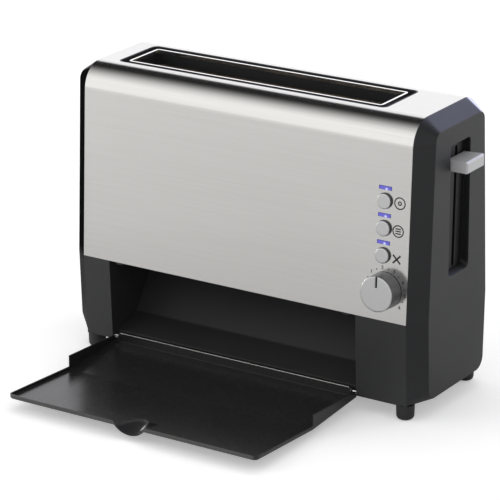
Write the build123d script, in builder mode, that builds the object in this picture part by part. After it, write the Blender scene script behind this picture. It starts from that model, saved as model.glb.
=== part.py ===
from build123d import *
import os
from math import atan2, cos, pi, radians, sin, sqrt, tan

# Slide-through toaster. Millimetres. X runs along the toaster, the front faces -Y, and Z is up.
# The origin is on the table, at the centre of the four feet. The tray is open and the lever is up.

# Lower body, from the feet to the waist: pillars beside the mouth, rear wall, chute side walls
mouth_width = 261.0
left_pillar = 28.5
right_pillar = 50.5
base_z = 14.0
lower_height = 76.8
waist_half = 64.3
skirt_taper = 3.0
housing_wall = 2.5
chamber_wall = 3.5
housing_lip_height = 6.0
pad_height = 8.0
pad_length = 11.6
pad_inset = 1.3
pad_width = 14.0

# Steel wrap: an inverted U that leans in from the waist to the shoulders
wrap_length = mouth_width + left_pillar + right_pillar
front_height = 179.2
wrap_t = 0.9
lean_angle = 2.95
shoulder_radius = 24.0
hem_depth = 6.0

# Main levels and faces
half_length = wrap_length / 2
mouth_centre = (left_pillar - right_pillar) / 2
mouth_x0 = mouth_centre - mouth_width / 2
mouth_x1 = mouth_centre + mouth_width / 2
waist_z = base_z + lower_height
body_top = waist_z + front_height
base_half = waist_half - skirt_taper
lean = radians(lean_angle)
skirt_slope = skirt_taper / lower_height

# End caps: chamfered all round, hollow, with a lip inside the wrap
cap_depth = 15.0
cap_wall = 2.5
cap_edge = 1.2
cap_side_inset = 13.0
cap_top_inset = 11.0
cap_bottom_inset = 4.0
cap_crown_radius = 8.0
cap_heel_radius = 12.0
heel_radius = 5.0
lip_length = 6.0
lip_t = 2.0
fit_gap = 0.2
end_x = half_length + cap_depth

# Base pan
pan_t = 1.2
pan_end_gap = 0.5
pan_setback = 12.1
stop_margin = 40.5
stop_reach = 15.0
stop_gap = 0.2
vent_length = 30.0
vent_width = 4.0
vent_pitch = 14.0
vent_margin = 46.5
vent_row_gap = 42.0
screw_inset = 23.3
screw_boss_radius = 4.5
screw_boss_height = 19.0
screw_boss_overlap = 0.5
screw_radius = 1.5
screw_head_radius = 3.5
screw_head_height = 2.2
screw_length = 12.0
seat_gap = 0.05
vent_count = int((mouth_width - 2 * vent_margin) / vent_pitch)
screw_y = base_half - screw_inset
pan_front = pan_setback - waist_half

# Feet
foot_end_inset = 5.3
foot_side_inset = 7.7
foot_radius = 8.3
foot_toe_radius = 7.9
foot_edge = 4.0
foot_stem_radius = 3.0
foot_stem_height = 6.0
foot_x = half_length - foot_end_inset
foot_y = base_half - foot_side_inset

# Cord gland in the rear wall
gland_inset = 50.0
gland_rise = 20.0
gland_bore_radius = 3.3
gland_neck_radius = 5.0
gland_flange_radius = 8.0
gland_flange_t = 2.0
gland_neck_length = 8.0
gland_x = gland_inset - half_length
gland_z = base_z + gland_rise

# Bread slot: a black bezel with a moat round a raised inner wall, and a bright liner that caps that wall
slot_shift = 1.1
slot_width = 43.0
bezel_margin_x = 9.4
bezel_margin_y = 8.7
bezel_flange_t = 1.6
bezel_flange_reach = 1.4
bezel_wall = 1.2
bezel_radius = 6.0
moat_depth = 5.0
throat_depth = 13.0
liner_t = 0.5
liner_drop = 0.4
liner_skirt = 3.3
slot_radius = 1.5
slot_length = mouth_width
slot_centre = mouth_centre - slot_shift

# Toasting chamber, between two chassis plates that stand on the chute's side walls
chassis_t = 1.0
chassis_inset = 18.3
chassis_drop = 15.0
reflector_inset = 2.0
reflector_t = 0.6
reflector_drop = 18.0
reflector_rise = 9.2
heater_gap = 9.6
mica_t = 0.8
mica_drop = 28.0
mica_rise = 23.2
ribbon_t = 0.4
ribbon_width = 3.0
ribbon_runs = 9
ribbon_margin = 10.0
guide_half_gap = 21.0
guide_rail_radius = 1.2
guide_wire_radius = 0.9
guide_wire_count = 11
guide_wire_margin = 13.0
guide_rise = 13.2
guide_drop = 26.0
chamber_x0 = mouth_x0 - chamber_wall + chassis_t
chamber_x1 = mouth_x1 + chamber_wall - chassis_t
chamber_centre = (chamber_x0 + chamber_x1) / 2
chamber_length = chamber_x1 - chamber_x0
chassis_half = waist_half - chassis_inset
chassis_top = body_top - chassis_drop
reflector_y = chassis_half - reflector_inset
reflector_bottom = waist_z + reflector_rise
reflector_top = body_top - reflector_drop
board_y = reflector_y - heater_gap
mica_bottom = waist_z + mica_rise
mica_top = body_top - mica_drop
guide_y = guide_half_gap
guide_bottom = waist_z + guide_rise
guide_top = body_top - guide_drop
guide_wire_pitch = (chamber_length - 2 * guide_wire_margin) / (guide_wire_count - 1)

# Chute: a folded sheet, steep at the back and shallow at the front
chute_t = 1.2
chute_bend = 4.0
chute_crease_reach = 28.2
chute_crease_rise = 15.0
chute_end_rise = 6.0
chute_end_reach = 1.6
chute_top_rise = 20.7
chute_top_reach = 10.0
chute_top_y = guide_y + chute_top_reach
chute_top_z = waist_z + chute_top_rise
chute_crease_y = pan_front + chute_crease_reach
chute_crease_z = base_z + chute_crease_rise
chute_end_y = pan_front - chute_end_reach
chute_end_z = base_z + chute_end_rise

# Carriage, rack and lever. Lengths out from the right chassis plate, heights down from the top
plate_face = chamber_x1 + chassis_t
carriage_floor_gap = 10.2
bar_drop = 94.0
bar_height = 10.0
bar_t = 1.2
bar_overrun = 4.0
bar_inset = 3.4
slit_gap = 0.6
rack_inset = 7.5
rack_rod_radius = 1.2
rack_wire_radius = 1.0
rack_wire_count = 11
rack_wire_margin = 5.5
rack_margin = 12.5
rack_ear_t = 1.2
rack_ear_offset = 5.0
rack_ear_reach = 2.6
rack_ear_height = 4.5
rod_offset = 14.0
rod_radius = 2.0
rod_overrun = 3.0
running_gap = 0.05
bush_radius = 4.5
bush_rise = 19.0
bush_length = 27.0
upright_offset = 3.2
upright_width = 4.8
arm_t = 1.6
arm_rise = 34.9
arm_height = 6.5
arm_bend_offset = 34.0
arm_turn_offset = 44.0
arm_overrun = 9.0
frame_t = 1.2
frame_edge_gap = 4.0
frame_web_width = 18.0
frame_tab_length = 23.0
frame_tab_reach = 7.6
frame_rise = 5.2
frame_drop = 30.0
spring_radius = 3.6
spring_wire_radius = 0.55
spring_turns = 8
spring_end_gap = 0.1
keeper_offset = 26.5
keeper_length = 13.0
keeper_width = 13.0
keeper_t = 2.0
magnet_height = 24.0
magnet_gap = 0.2
magnet_pole_radius = 3.0
magnet_base_radius = 8.0
magnet_base_t = 2.0
coil_radius = 7.5
coil_height = 17.0
shelf_half = 9.6
bar_y = guide_y - bar_inset
bar_bottom = body_top - bar_drop
carriage_travel = bar_bottom - waist_z - carriage_floor_gap
rack_y = guide_y - rack_inset
rack_z = bar_bottom + bar_height
rack_depth = 2 * rack_y
rack_length = chamber_length - 2 * rack_margin
rack_wire_pitch = (rack_length - 2 * rack_wire_margin) / (rack_wire_count - 1)
rack_ear_top = rack_z + rack_ear_height
rod_x = plate_face + rod_offset
bush_bottom = rack_z + bush_rise
bush_top = bush_bottom + bush_length
upright_x = plate_face + upright_offset
arm_bottom = rack_z + arm_rise
arm_bend_x = plate_face + arm_bend_offset
arm_turn_x = plate_face + arm_turn_offset
arm_tip_x = end_x + arm_overrun
frame_web_y = chassis_half - frame_edge_gap - frame_web_width
frame_tab_y = bar_y - frame_tab_reach
frame_bottom = waist_z + frame_rise
frame_top = body_top - frame_drop
keeper_x = plate_face + keeper_offset

# Lever knob, and the recess and slit for it in the right end cap
knob_half_width = 15.2
knob_sink = 5.0
knob_reach = 15.4
knob_rise = 1.2
knob_below = 2.0
knob_above = 2.0
knob_nose = 2.4
knob_heel = 0.8
knob_corner = 1.6
arm_gap = 0.1
recess_gap = 2.5
recess_drop = 28.0
recess_run_out = 21.4
recess_slope_height = 3.5
recess_depth_top = 5.5
recess_depth_bottom = 7.4
recess_wall = 2.5
recess_top_radius = 4.0
recess_foot_radius = 5.0
slit_half = 2.0
slit_radius = 1.8
slit_y = 2.5
slit_margin_below = 19.4
slit_margin_above = 9.4
knob_inner_x = end_x - knob_sink
knob_outer_x = end_x + knob_reach
knob_bottom = arm_bottom - knob_below
knob_top = arm_bottom + arm_height + knob_above
recess_half = knob_half_width + recess_gap
recess_top = body_top - recess_drop
recess_bottom = knob_bottom - carriage_travel - recess_run_out
recess_slope = recess_slope_height / recess_depth_bottom
recess_floor_bottom = recess_bottom + recess_slope_height
slit_bottom = arm_bottom - carriage_travel - slit_margin_below
slit_top = arm_bottom + arm_height + slit_margin_above

# Controls on the front, measured along the outward normal of the leaning steel
control_inset = 25.0
button_radius = 6.85
button_gap = 0.3
button_spacing = 4.15
button_proud = 3.0
button_edge = 1.0
button_flange_margin = 0.9
button_flange_t = 1.2
button_travel = 1.4
button_stem_radius = 2.0
button_stem_length = 0.7
indicator_width = 12.6
indicator_height = 3.4
indicator_spacing = 2.95
indicator_corner = 0.8
indicator_proud = 0.2
indicator_flange = 0.8
indicator_flange_t = 1.0
carrier_t = 2.0
carrier_left = 20.0
carrier_right = 17.5
carrier_below = 17.8
carrier_above = 14.6
board_depth = 11.0
board_t = 1.6
post_radius = 2.2
post_inset = 4.0
switch_size = 6.0
switch_height = 3.5
plunger_radius = 1.75
plunger_gap = 0.2
led_length = 3.5
led_width = 3.0
led_height = 1.8
dial_inset = 22.0
dial_spacing = 7.65
dial_rise = 28.0
dial_base_radius = 16.2
dial_face_radius = 15.9
dial_proud = 15.5
dial_gap = 0.6
dial_edge = 1.2
dial_wall = 2.2
dial_hub_radius = 6.0
dial_socket_depth = 10.0
pointer_width = 2.2
pointer_depth = 0.6
pointer_inner = 5.8
shaft_radius = 3.0
shaft_seat_gap = 0.03
shaft_hole_radius = 4.0
pot_radius = 8.0
pot_height = 6.8
pot_bore_depth = 4.8
control_x = half_length - control_inset
indicator_rise = button_radius + indicator_spacing + indicator_height / 2
button_pitch = indicator_rise + indicator_height / 2 + button_spacing + button_radius
dial_z = waist_z + dial_rise
lower_button = dial_z + dial_base_radius + dial_spacing + button_radius
button_heights = {
    "upper": lower_button + 2 * button_pitch,
    "middle": lower_button + button_pitch,
    "lower": lower_button,
}
button_flange_radius = button_radius + button_flange_margin
dial_x = half_length - dial_inset
carrier_x0 = control_x - carrier_left
carrier_x1 = control_x + carrier_right
carrier_z0 = dial_z - carrier_below
carrier_z1 = button_heights["upper"] + carrier_above

# Tray: a pan with low rims, two wings at the hinge and a finger scoop at the front
hinge_setback = 5.8
hinge_rise = 2.5
pin_radius = 1.3
pin_seat = 2.5
pin_end_gap = 0.2
pin_gap = 0.06
tray_gap = 1.0
tray_t = 1.2
tray_reach = 163.5
tray_corner = 5.0
tray_edge = 1.8
tray_dip = 4.8
floor_drop = 4.5
rim_height = 3.0
back_rim_height = 7.7
back_rim_gap = 0.6
ear_radius = 2.7
ear_inset = 4.4
wing_gap = 1.3
wing_height = 9.9
wing_tail_gap = 1.0
wing_tail_rise = 1.0
scoop_length = 25.0
scoop_drop = 6.0
scoop_radius = 20.6
scoop_wall = 1.2
hinge_y = hinge_setback - waist_half
hinge_z = base_z + hinge_rise
wing_length = waist_z - hinge_z - wing_gap

# Bumpers for the folded tray, under the hem of the steel
bumper_length = 6.4
bumper_depth = 4.4
bumper_height = 2.6
bumper_inset = 7.3
bumper_setback = 0.9

# Places that several pieces share
pan_top = base_z + pan_t
pan_half_length = half_length - pan_end_gap
stop_width = mouth_width - 2 * stop_margin
lip_inset = wrap_t + fit_gap
carrier_back = -(wrap_t + carrier_t)
panel_plane = Plane(origin=(0, -waist_half, waist_z), x_dir=(1, 0, 0), z_dir=(0, -cos(lean), sin(lean)))


def upper_half(z, inset=0.0):
    """Half depth of the steel at height z, drawn in by inset."""
    return waist_half - (z - waist_z) * tan(lean) - inset / cos(lean)


def lower_half(z, inset=0.0):
    """Half depth of the lower body at height z, drawn in by inset."""
    return waist_half - (waist_z - z) * skirt_slope - inset


def panel_y(z):
    """Distance up the leaning steel front from its lower edge to height z."""
    return (z - waist_z) / cos(lean)


def outline(plane, *points):
    """Closed polygon on a plane."""
    with BuildSketch(plane) as sheet:
        with BuildLine():
            Polyline(*points, close=True)
        make_face()
    return sheet.sketch


def rect(plane, x0, x1, y0, y1, radius=0.0):
    """Rectangle between two corners on a plane, with rounded corners if asked."""
    with BuildSketch(plane) as sheet:
        with Locations(((x0 + x1) / 2, (y0 + y1) / 2)):
            Rectangle(x1 - x0, y1 - y0)
        if radius > 0:
            fillet(sheet.vertices(), radius)
    return sheet.sketch


def disc(plane, x, y, radius):
    """Circle on a plane."""
    with BuildSketch(plane) as sheet:
        with Locations((x, y)):
            Circle(radius)
    return sheet.sketch


def upper_section(inset, bottom, plane=Plane.YZ):
    """Section of the steel part of the body, round at the shoulders, drawn in by inset."""
    top = body_top - inset
    with BuildSketch(plane) as sheet:
        with BuildLine():
            Polyline(
                (-upper_half(bottom, inset), bottom),
                (-upper_half(top, inset), top),
                (upper_half(top, inset), top),
                (upper_half(bottom, inset), bottom),
                close=True,
            )
        make_face()
        fillet(sheet.vertices().group_by(Axis.Y)[-1], shoulder_radius - inset)
    return sheet.sketch


def lower_section(inset, bottom, top, plane=Plane.YZ):
    """Section of the black lower body, drawn in by inset at front and back."""
    return outline(
        plane,
        (-lower_half(bottom, inset), bottom),
        (-lower_half(top, inset), top),
        (lower_half(top, inset), top),
        (lower_half(bottom, inset), bottom),
    )


def cap_section(x, side_inset, top_inset, bottom_inset, crown, heel):
    """Whole-body section at x, drawn in at the sides, top and bottom, with rounded corners."""
    bottom = base_z + bottom_inset
    top = body_top - top_inset
    with BuildSketch(Plane.YZ.offset(x)) as sheet:
        with BuildLine():
            Polyline(
                (-lower_half(bottom, side_inset), bottom),
                (-waist_half + side_inset, waist_z),
                (-upper_half(top, side_inset), top),
                (upper_half(top, side_inset), top),
                (waist_half - side_inset, waist_z),
                (lower_half(bottom, side_inset), bottom),
                close=True,
            )
        make_face()
        fillet(sheet.vertices().group_by(Axis.Y)[-1], crown)
        fillet(sheet.vertices().group_by(Axis.Y)[0], heel)
    return sheet.sketch


def end_cap_shell():
    """Hollow end cap at the right end, with the lip that goes inside the wrap."""
    with BuildPart() as shell:
        loft(
            sections=[
                cap_section(half_length, 0, 0, 0, shoulder_radius, heel_radius),
                cap_section(
                    half_length + cap_depth,
                    cap_side_inset,
                    cap_top_inset,
                    cap_bottom_inset,
                    cap_crown_radius,
                    cap_heel_radius,
                ),
            ],
            ruled=True,
        )
        fillet(shell.faces().sort_by(Axis.X)[-1].edges(), cap_edge)
        loft(
            sections=[
                cap_section(
                    half_length,
                    cap_wall,
                    cap_wall,
                    cap_wall,
                    shoulder_radius - cap_wall,
                    heel_radius - cap_wall,
                ),
                cap_section(
                    half_length + cap_depth - cap_wall,
                    cap_side_inset + cap_wall,
                    cap_top_inset + cap_wall,
                    cap_bottom_inset + cap_wall,
                    cap_crown_radius - cap_wall,
                    cap_heel_radius - cap_wall,
                ),
            ],
            ruled=True,
            mode=Mode.SUBTRACT,
        )
        lip_bottom = waist_z + housing_lip_height + lip_t
        lip_plane = Plane.YZ.offset(half_length - lip_length)
        lip_outside = upper_section(lip_inset, lip_bottom, lip_plane)
        lip_inside = upper_section(lip_inset + lip_t, lip_bottom, lip_plane)
        extrude(lip_outside - lip_inside, amount=lip_length + cap_wall / 2)
    return shell.part


# Steel wrap
bezel_x0 = slot_centre - slot_length / 2 - bezel_margin_x
bezel_x1 = slot_centre + slot_length / 2 + bezel_margin_x
bezel_half = slot_width / 2 + bezel_margin_y

with BuildPart() as steel_wrap:
    extrude(upper_section(0, waist_z), amount=half_length, both=True)
    extrude(upper_section(wrap_t, waist_z - wrap_t), amount=half_length, both=True, mode=Mode.SUBTRACT)
    hem_y = -upper_half(waist_z, wrap_t / 2)
    extrude(rect(Plane.XY.offset(waist_z), mouth_x0, mouth_x1, hem_y, hem_y + hem_depth), amount=wrap_t)
    extrude(
        rect(
            Plane.XY.offset(body_top),
            bezel_x0 - fit_gap,
            bezel_x1 + fit_gap,
            -bezel_half - fit_gap,
            bezel_half + fit_gap,
            bezel_radius + fit_gap,
        ),
        amount=shoulder_radius / 2,
        both=True,
        mode=Mode.SUBTRACT,
    )
    with BuildSketch(panel_plane):
        for height in button_heights.values():
            with Locations((control_x, panel_y(height))):
                Circle(button_radius + button_gap)
            with Locations((control_x, panel_y(height + indicator_rise))):
                Rectangle(indicator_width + fit_gap, indicator_height + fit_gap)
        with Locations((dial_x, panel_y(dial_z))):
            Circle(shaft_hole_radius)
    extrude(amount=2 * wrap_t, both=True, mode=Mode.SUBTRACT)

# End caps. The right one has a recess for the lever, with its own floor and walls behind it
with BuildPart() as left_end_cap:
    add(end_cap_shell())
    mirror(about=Plane.YZ, mode=Mode.REPLACE)

with BuildPart() as recess_pocket:
    extrude(
        outline(
            Plane.XZ,
            (end_x + recess_wall, recess_bottom - recess_slope * recess_wall),
            (end_x - recess_depth_bottom, recess_floor_bottom),
            (end_x - recess_depth_top, recess_top),
            (end_x + recess_wall, recess_top),
        ),
        amount=recess_half,
        both=True,
    )
    fillet(recess_pocket.faces().sort_by(Axis.Z)[-1].edges().filter_by(Axis.X), recess_top_radius)
    foot_edges = recess_pocket.faces().sort_by(Axis.Z)[0].edges().group_by(Axis.Y)
    fillet(foot_edges[0] + foot_edges[-1], recess_foot_radius)

with BuildPart() as right_end_cap:
    add(end_cap_shell())
    extrude(
        outline(
            Plane.XZ,
            (end_x - cap_wall / 2, recess_bottom - 2 * recess_wall),
            (end_x - recess_depth_bottom - recess_wall, recess_floor_bottom - recess_wall),
            (end_x - recess_depth_top - recess_wall, recess_top + recess_wall),
            (end_x - cap_wall / 2, recess_top + recess_wall),
        ),
        amount=recess_half + recess_wall,
        both=True,
    )
    add(recess_pocket.part, mode=Mode.SUBTRACT)
    extrude(
        rect(
            Plane.YZ.offset(half_length),
            slit_y - slit_half,
            slit_y + slit_half,
            slit_bottom,
            slit_top,
            slit_radius,
        ),
        amount=cap_depth,
        mode=Mode.SUBTRACT,
    )

# Lower housing
wall_starts = (mouth_x0 - chamber_wall, mouth_x1)
boss_offset = screw_boss_radius - screw_boss_overlap
screw_points = [
    (x, y)
    for x in (mouth_x0 - chamber_wall - boss_offset, mouth_x1 + chamber_wall + boss_offset)
    for y in (-screw_y, screw_y)
]
foot_points = {
    "front_left": (-foot_x, -foot_y),
    "front_right": (foot_x, -foot_y),
    "rear_left": (-foot_x, foot_y),
    "rear_right": (foot_x, foot_y),
}
lip_top = waist_z + housing_lip_height
lip_root = waist_z - housing_wall
lip_end = half_length - lip_length - lip_t / 2
lip_points = [
    (upper_half(waist_z, lip_inset), lip_root),
    (upper_half(lip_top, lip_inset), lip_top),
    (upper_half(lip_top, lip_inset + lip_t), lip_top),
    (upper_half(waist_z, lip_inset + lip_t), lip_root),
]
gland_slope = (skirt_slope**2 + 1) ** 0.5
gland_plane = Plane(
    origin=(gland_x, lower_half(gland_z), gland_z),
    x_dir=(1, 0, 0),
    z_dir=(0, 1 / gland_slope, -skirt_slope / gland_slope),
)

with BuildPart() as lower_housing:
    extrude(lower_section(0, base_z, waist_z), amount=half_length, both=True)
    extrude(
        lower_section(housing_wall, base_z - pan_t, waist_z + pan_t),
        amount=half_length,
        both=True,
        mode=Mode.SUBTRACT,
    )
    extrude(
        rect(Plane.XZ, mouth_x0, mouth_x1, base_z - pan_t, waist_z + pan_t),
        amount=2 * waist_half,
        mode=Mode.SUBTRACT,
    )
    # Side walls of the chute, standing on the pan and reaching down in front of it round the hinge pins
    for x in wall_starts:
        wall_plane = Plane.YZ.offset(x)
        extrude(lower_section(0, pan_top, waist_z, wall_plane), amount=chamber_wall)
        extrude(
            outline(
                wall_plane,
                (-lower_half(base_z), base_z),
                (-lower_half(pan_top), pan_top),
                (pan_front - fit_gap, pan_top),
                (pan_front - fit_gap, base_z),
            ),
            amount=chamber_wall,
        )
    # Lips inside the steel, along the back and on both pillars
    extrude(outline(Plane.YZ, *lip_points), amount=lip_end, both=True)
    front_lip = [(-y, z) for y, z in lip_points]
    extrude(outline(Plane.YZ.offset(-lip_end), *front_lip), amount=lip_end + mouth_x0)
    extrude(outline(Plane.YZ.offset(mouth_x1), *front_lip), amount=lip_end - mouth_x1)
    # Pads that the feet screw to, and bosses for the base pan's screws
    for x, y in foot_points.values():
        outer_x = half_length - fit_gap
        outer_y = base_half - pad_inset
        pad_x = sorted([outer_x * x / foot_x, (outer_x - pad_length) * x / foot_x])
        pad_y = sorted([outer_y * y / foot_y, (outer_y - pad_width) * y / foot_y])
        extrude(rect(Plane.XY.offset(base_z), *pad_x, *pad_y), amount=pad_height)
        extrude(
            disc(Plane.XY.offset(base_z), x, y, foot_stem_radius + seat_gap),
            amount=pad_height,
            mode=Mode.SUBTRACT,
        )
    for x, y in screw_points:
        extrude(disc(Plane.XY.offset(pan_top), x, y, screw_boss_radius), amount=screw_boss_height)
    for x, y in screw_points:
        extrude(
            disc(Plane.XY.offset(pan_top), x, y, screw_radius + seat_gap),
            amount=screw_length,
            mode=Mode.SUBTRACT,
        )
    # Seats for the hinge pins and the cord gland
    extrude(
        disc(Plane.YZ.offset(mouth_x0 - pin_seat), hinge_y, hinge_z, pin_radius + seat_gap),
        amount=mouth_width + 2 * pin_seat,
        mode=Mode.SUBTRACT,
    )
    extrude(
        disc(gland_plane, 0, 0, gland_neck_radius + seat_gap),
        amount=-2 * housing_wall,
        mode=Mode.SUBTRACT,
    )

# Base pan: vented plate, with a joggled lip under the tray that stops it when it is open
floor_top = hinge_z - floor_drop
floor_bottom = floor_top - tray_t
tray_back = hinge_y - back_rim_gap
tray_front = hinge_y - tray_reach
wing_y = hinge_y - wing_length
stop_front = pan_front - stop_reach
stop_fall = tray_dip * (tray_back - stop_front) / (tray_back - wing_y)
stop_top = floor_bottom - stop_fall - stop_gap
pan_half_depth = lower_half(base_z, housing_wall) - fit_gap
stop_x0 = mouth_centre - stop_width / 2
stop_x1 = mouth_centre + stop_width / 2

with BuildPart() as base_pan:
    extrude(
        rect(Plane.XY.offset(base_z), -pan_half_length, pan_half_length, -pan_half_depth, pan_half_depth),
        amount=pan_t,
    )
    extrude(
        rect(
            Plane.XY.offset(base_z),
            mouth_x0 - chamber_wall - fit_gap,
            mouth_x1 + chamber_wall + fit_gap,
            -pan_half_depth,
            pan_front,
        ),
        amount=pan_t,
        mode=Mode.SUBTRACT,
    )
    notch_x = half_length - fit_gap - pad_length - fit_gap
    notch_y = base_half - pad_inset - pad_width - fit_gap
    for x_sign in (-1, 1):
        for y_sign in (-1, 1):
            notch_xs = sorted([x_sign * notch_x, x_sign * half_length])
            notch_ys = sorted([y_sign * notch_y, y_sign * base_half])
            extrude(
                rect(Plane.XY.offset(base_z), *notch_xs, *notch_ys),
                amount=pan_t,
                mode=Mode.SUBTRACT,
            )
    extrude(
        outline(
            Plane.YZ.offset(stop_x0),
            (pan_front, pan_top),
            (pan_front - pan_t, pan_top),
            (pan_front - pan_t, stop_top),
            (stop_front, stop_top),
            (stop_front, stop_top - pan_t),
            (pan_front, stop_top - pan_t),
        ),
        amount=stop_width,
    )
    with BuildSketch(Plane.XY.offset(base_z)):
        with Locations((mouth_centre, 0)):
            with GridLocations(vent_pitch, vent_row_gap, vent_count, 2):
                SlotOverall(vent_length, vent_width, rotation=90)
    extrude(amount=pan_t, mode=Mode.SUBTRACT)
    for x, y in screw_points:
        extrude(
            disc(Plane.XY.offset(base_z), x, y, screw_radius + seat_gap),
            amount=pan_t,
            mode=Mode.SUBTRACT,
        )

with BuildPart() as base_screws:
    for x, y in screw_points:
        screw_plane = Plane.XY.offset(base_z)
        extrude(disc(screw_plane, x, y, screw_head_radius), amount=-screw_head_height)
        extrude(disc(screw_plane, x, y, screw_radius), amount=pan_t + screw_length - seat_gap)

# Feet: rubber buttons with a stem in the housing's pads
feet = {}
for corner, (x, y) in foot_points.items():
    with BuildPart() as foot:
        with BuildSketch(Plane.XZ.offset(-y)) as foot_profile:
            with BuildLine():
                Polyline(
                    (x, 0),
                    (x + foot_toe_radius, 0),
                    (x + foot_radius, base_z),
                    (x + foot_stem_radius, base_z),
                    (x + foot_stem_radius, base_z + foot_stem_height),
                    (x, base_z + foot_stem_height),
                    close=True,
                )
            make_face()
            fillet(foot_profile.vertices().group_by(Axis.Y)[0].sort_by(Axis.X)[-1], foot_edge)
        revolve(axis=Axis((x, y, 0), (0, 0, 1)))
    feet[corner] = foot

with BuildPart() as cord_gland:
    extrude(disc(gland_plane, 0, 0, gland_flange_radius), amount=gland_flange_t)
    chamfer(cord_gland.edges().group_by(Axis.Y)[-1], gland_flange_t / 3)
    extrude(disc(gland_plane, 0, 0, gland_neck_radius), amount=-gland_neck_length)
    extrude(
        disc(gland_plane, 0, 0, gland_bore_radius),
        amount=gland_neck_length,
        both=True,
        mode=Mode.SUBTRACT,
    )

# Chute: one sheet with two bends, its skirt standing on the base pan
with BuildPart() as chute_ramp:
    with BuildSketch(Plane.YZ.offset(mouth_x0 + fit_gap)):
        with BuildLine() as chute_line:
            FilletPolyline(
                (chute_top_y, chute_top_z),
                (chute_crease_y, chute_crease_z),
                (chute_end_y, chute_end_z),
                (chute_end_y, pan_top),
                radius=[chute_bend, chute_t],
            )
            offset(amount=chute_t, side=Side.LEFT)
        make_face()
    extrude(amount=mouth_width - 2 * fit_gap)

# Bread slot: bezel and liner
slot_x0 = slot_centre - slot_length / 2
slot_x1 = slot_centre + slot_length / 2
slot_half = slot_width / 2
liner_top = body_top - liner_drop
liner_bottom = liner_top - liner_skirt
wall_top = liner_top - liner_t
throat_bottom = wall_top - throat_depth
moat_floor = body_top - moat_depth


def bezel_frame(z, reach):
    """Rounded rectangle at height z that stands out by reach from the bezel's outer wall."""
    half = bezel_half + reach
    return rect(Plane.XY.offset(z), bezel_x0 - reach, bezel_x1 + reach, -half, half, bezel_radius + reach)


def slot_frame(z, reach):
    """Rounded rectangle at height z that stands out by reach from the edge of the bread slot."""
    half = slot_half + reach
    return rect(Plane.XY.offset(z), slot_x0 - reach, slot_x1 + reach, -half, half, slot_radius + reach)


wall_reach = liner_t + bezel_wall
with BuildPart() as slot_bezel:
    extrude(bezel_frame(moat_floor - bezel_wall, 0), amount=moat_depth + bezel_wall)
    extrude(bezel_frame(body_top - wrap_t, bezel_flange_reach), amount=-bezel_flange_t)
    extrude(
        bezel_frame(moat_floor, -bezel_wall) - slot_frame(moat_floor, wall_reach),
        amount=moat_depth,
        mode=Mode.SUBTRACT,
    )
    extrude(slot_frame(wall_top, wall_reach), amount=moat_depth, mode=Mode.SUBTRACT)
    extrude(slot_frame(throat_bottom, wall_reach), amount=throat_depth)
    extrude(slot_frame(throat_bottom, liner_t), amount=throat_depth, mode=Mode.SUBTRACT)

with BuildPart() as slot_liner:
    extrude(slot_frame(liner_bottom, wall_reach + liner_t), amount=liner_skirt)
    extrude(
        slot_frame(liner_bottom, wall_reach) - slot_frame(liner_bottom, liner_t),
        amount=liner_skirt - liner_t,
        mode=Mode.SUBTRACT,
    )
    extrude(slot_frame(liner_bottom, 0), amount=liner_skirt, mode=Mode.SUBTRACT)

# Chassis plates, each standing on a chute side wall, with a slit for the carriage bar
bar_y0 = bar_y - bar_t / 2
bar_y1 = bar_y + bar_t / 2
slit_z0 = bar_bottom - carriage_travel - 2 * slit_gap
slit_z1 = bar_bottom + bar_height + 2 * slit_gap
chassis_plates = {}
for end, x in (("left", chamber_x0 - chassis_t), ("right", chamber_x1)):
    with BuildPart() as chassis_plate:
        plate_plane = Plane.YZ.offset(x)
        extrude(rect(plate_plane, -chassis_half, chassis_half, waist_z, chassis_top), amount=chassis_t)
        extrude(
            rect(plate_plane, bar_y0 - slit_gap, bar_y1 + slit_gap, slit_z0, slit_z1),
            amount=chassis_t,
            mode=Mode.SUBTRACT,
        )
    chassis_plates[end] = chassis_plate

# Reflector, heater board, heater ribbon and guide wires at the front and the back of the chamber
reflectors = {}
heater_boards = {}
heater_ribbons = {}
guide_wires = {}
ribbon_x0 = chamber_x0 + ribbon_margin
ribbon_x1 = chamber_x1 - ribbon_margin
ribbon_step = (mica_top - mica_bottom - 2 * ribbon_margin) / (ribbon_runs - 1)
ribbon_heights = [mica_bottom + ribbon_margin + run * ribbon_step for run in range(ribbon_runs)]
for side, sign in (("front", -1), ("rear", 1)):
    with BuildPart() as reflector:
        reflector_plane = Plane.XZ.offset(-sign * reflector_y)
        extrude(
            rect(reflector_plane, chamber_x0, chamber_x1, reflector_bottom, reflector_top),
            amount=reflector_t / 2,
            both=True,
        )
    reflectors[side] = reflector

    with BuildPart() as heater_board:
        mica_plane = Plane.XZ.offset(-sign * board_y)
        mica_sheet = rect(mica_plane, chamber_x0, chamber_x1, mica_bottom, mica_top)
        extrude(mica_sheet, amount=mica_t / 2, both=True)
    heater_boards[side] = heater_board

    with BuildPart() as heater_ribbon:
        with BuildSketch(Plane.XZ.offset(-sign * (board_y - mica_t / 2))):
            for run, height in enumerate(ribbon_heights):
                with Locations((chamber_centre, height)):
                    Rectangle(ribbon_x1 - ribbon_x0, ribbon_width)
                if run + 1 < ribbon_runs:
                    link_x = ribbon_x1 - ribbon_width / 2 if run % 2 == 0 else ribbon_x0 + ribbon_width / 2
                    with Locations((link_x, height + ribbon_step / 2)):
                        Rectangle(ribbon_width, ribbon_step)
        extrude(amount=sign * ribbon_t)
    heater_ribbons[side] = heater_ribbon

    with BuildPart() as guide_cage:
        guide_plane = Plane.YZ.offset(chamber_x0)
        for height in (guide_bottom, guide_top):
            extrude(
                disc(guide_plane, sign * guide_y, height, guide_rail_radius),
                amount=chamber_x1 - chamber_x0,
            )
        with BuildSketch(Plane.XY.offset(guide_bottom)):
            with Locations((chamber_centre, sign * guide_y)):
                with GridLocations(guide_wire_pitch, 1, guide_wire_count, 1):
                    Circle(guide_wire_radius)
        extrude(amount=guide_top - guide_bottom)
    guide_wires[side] = guide_cage

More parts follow.
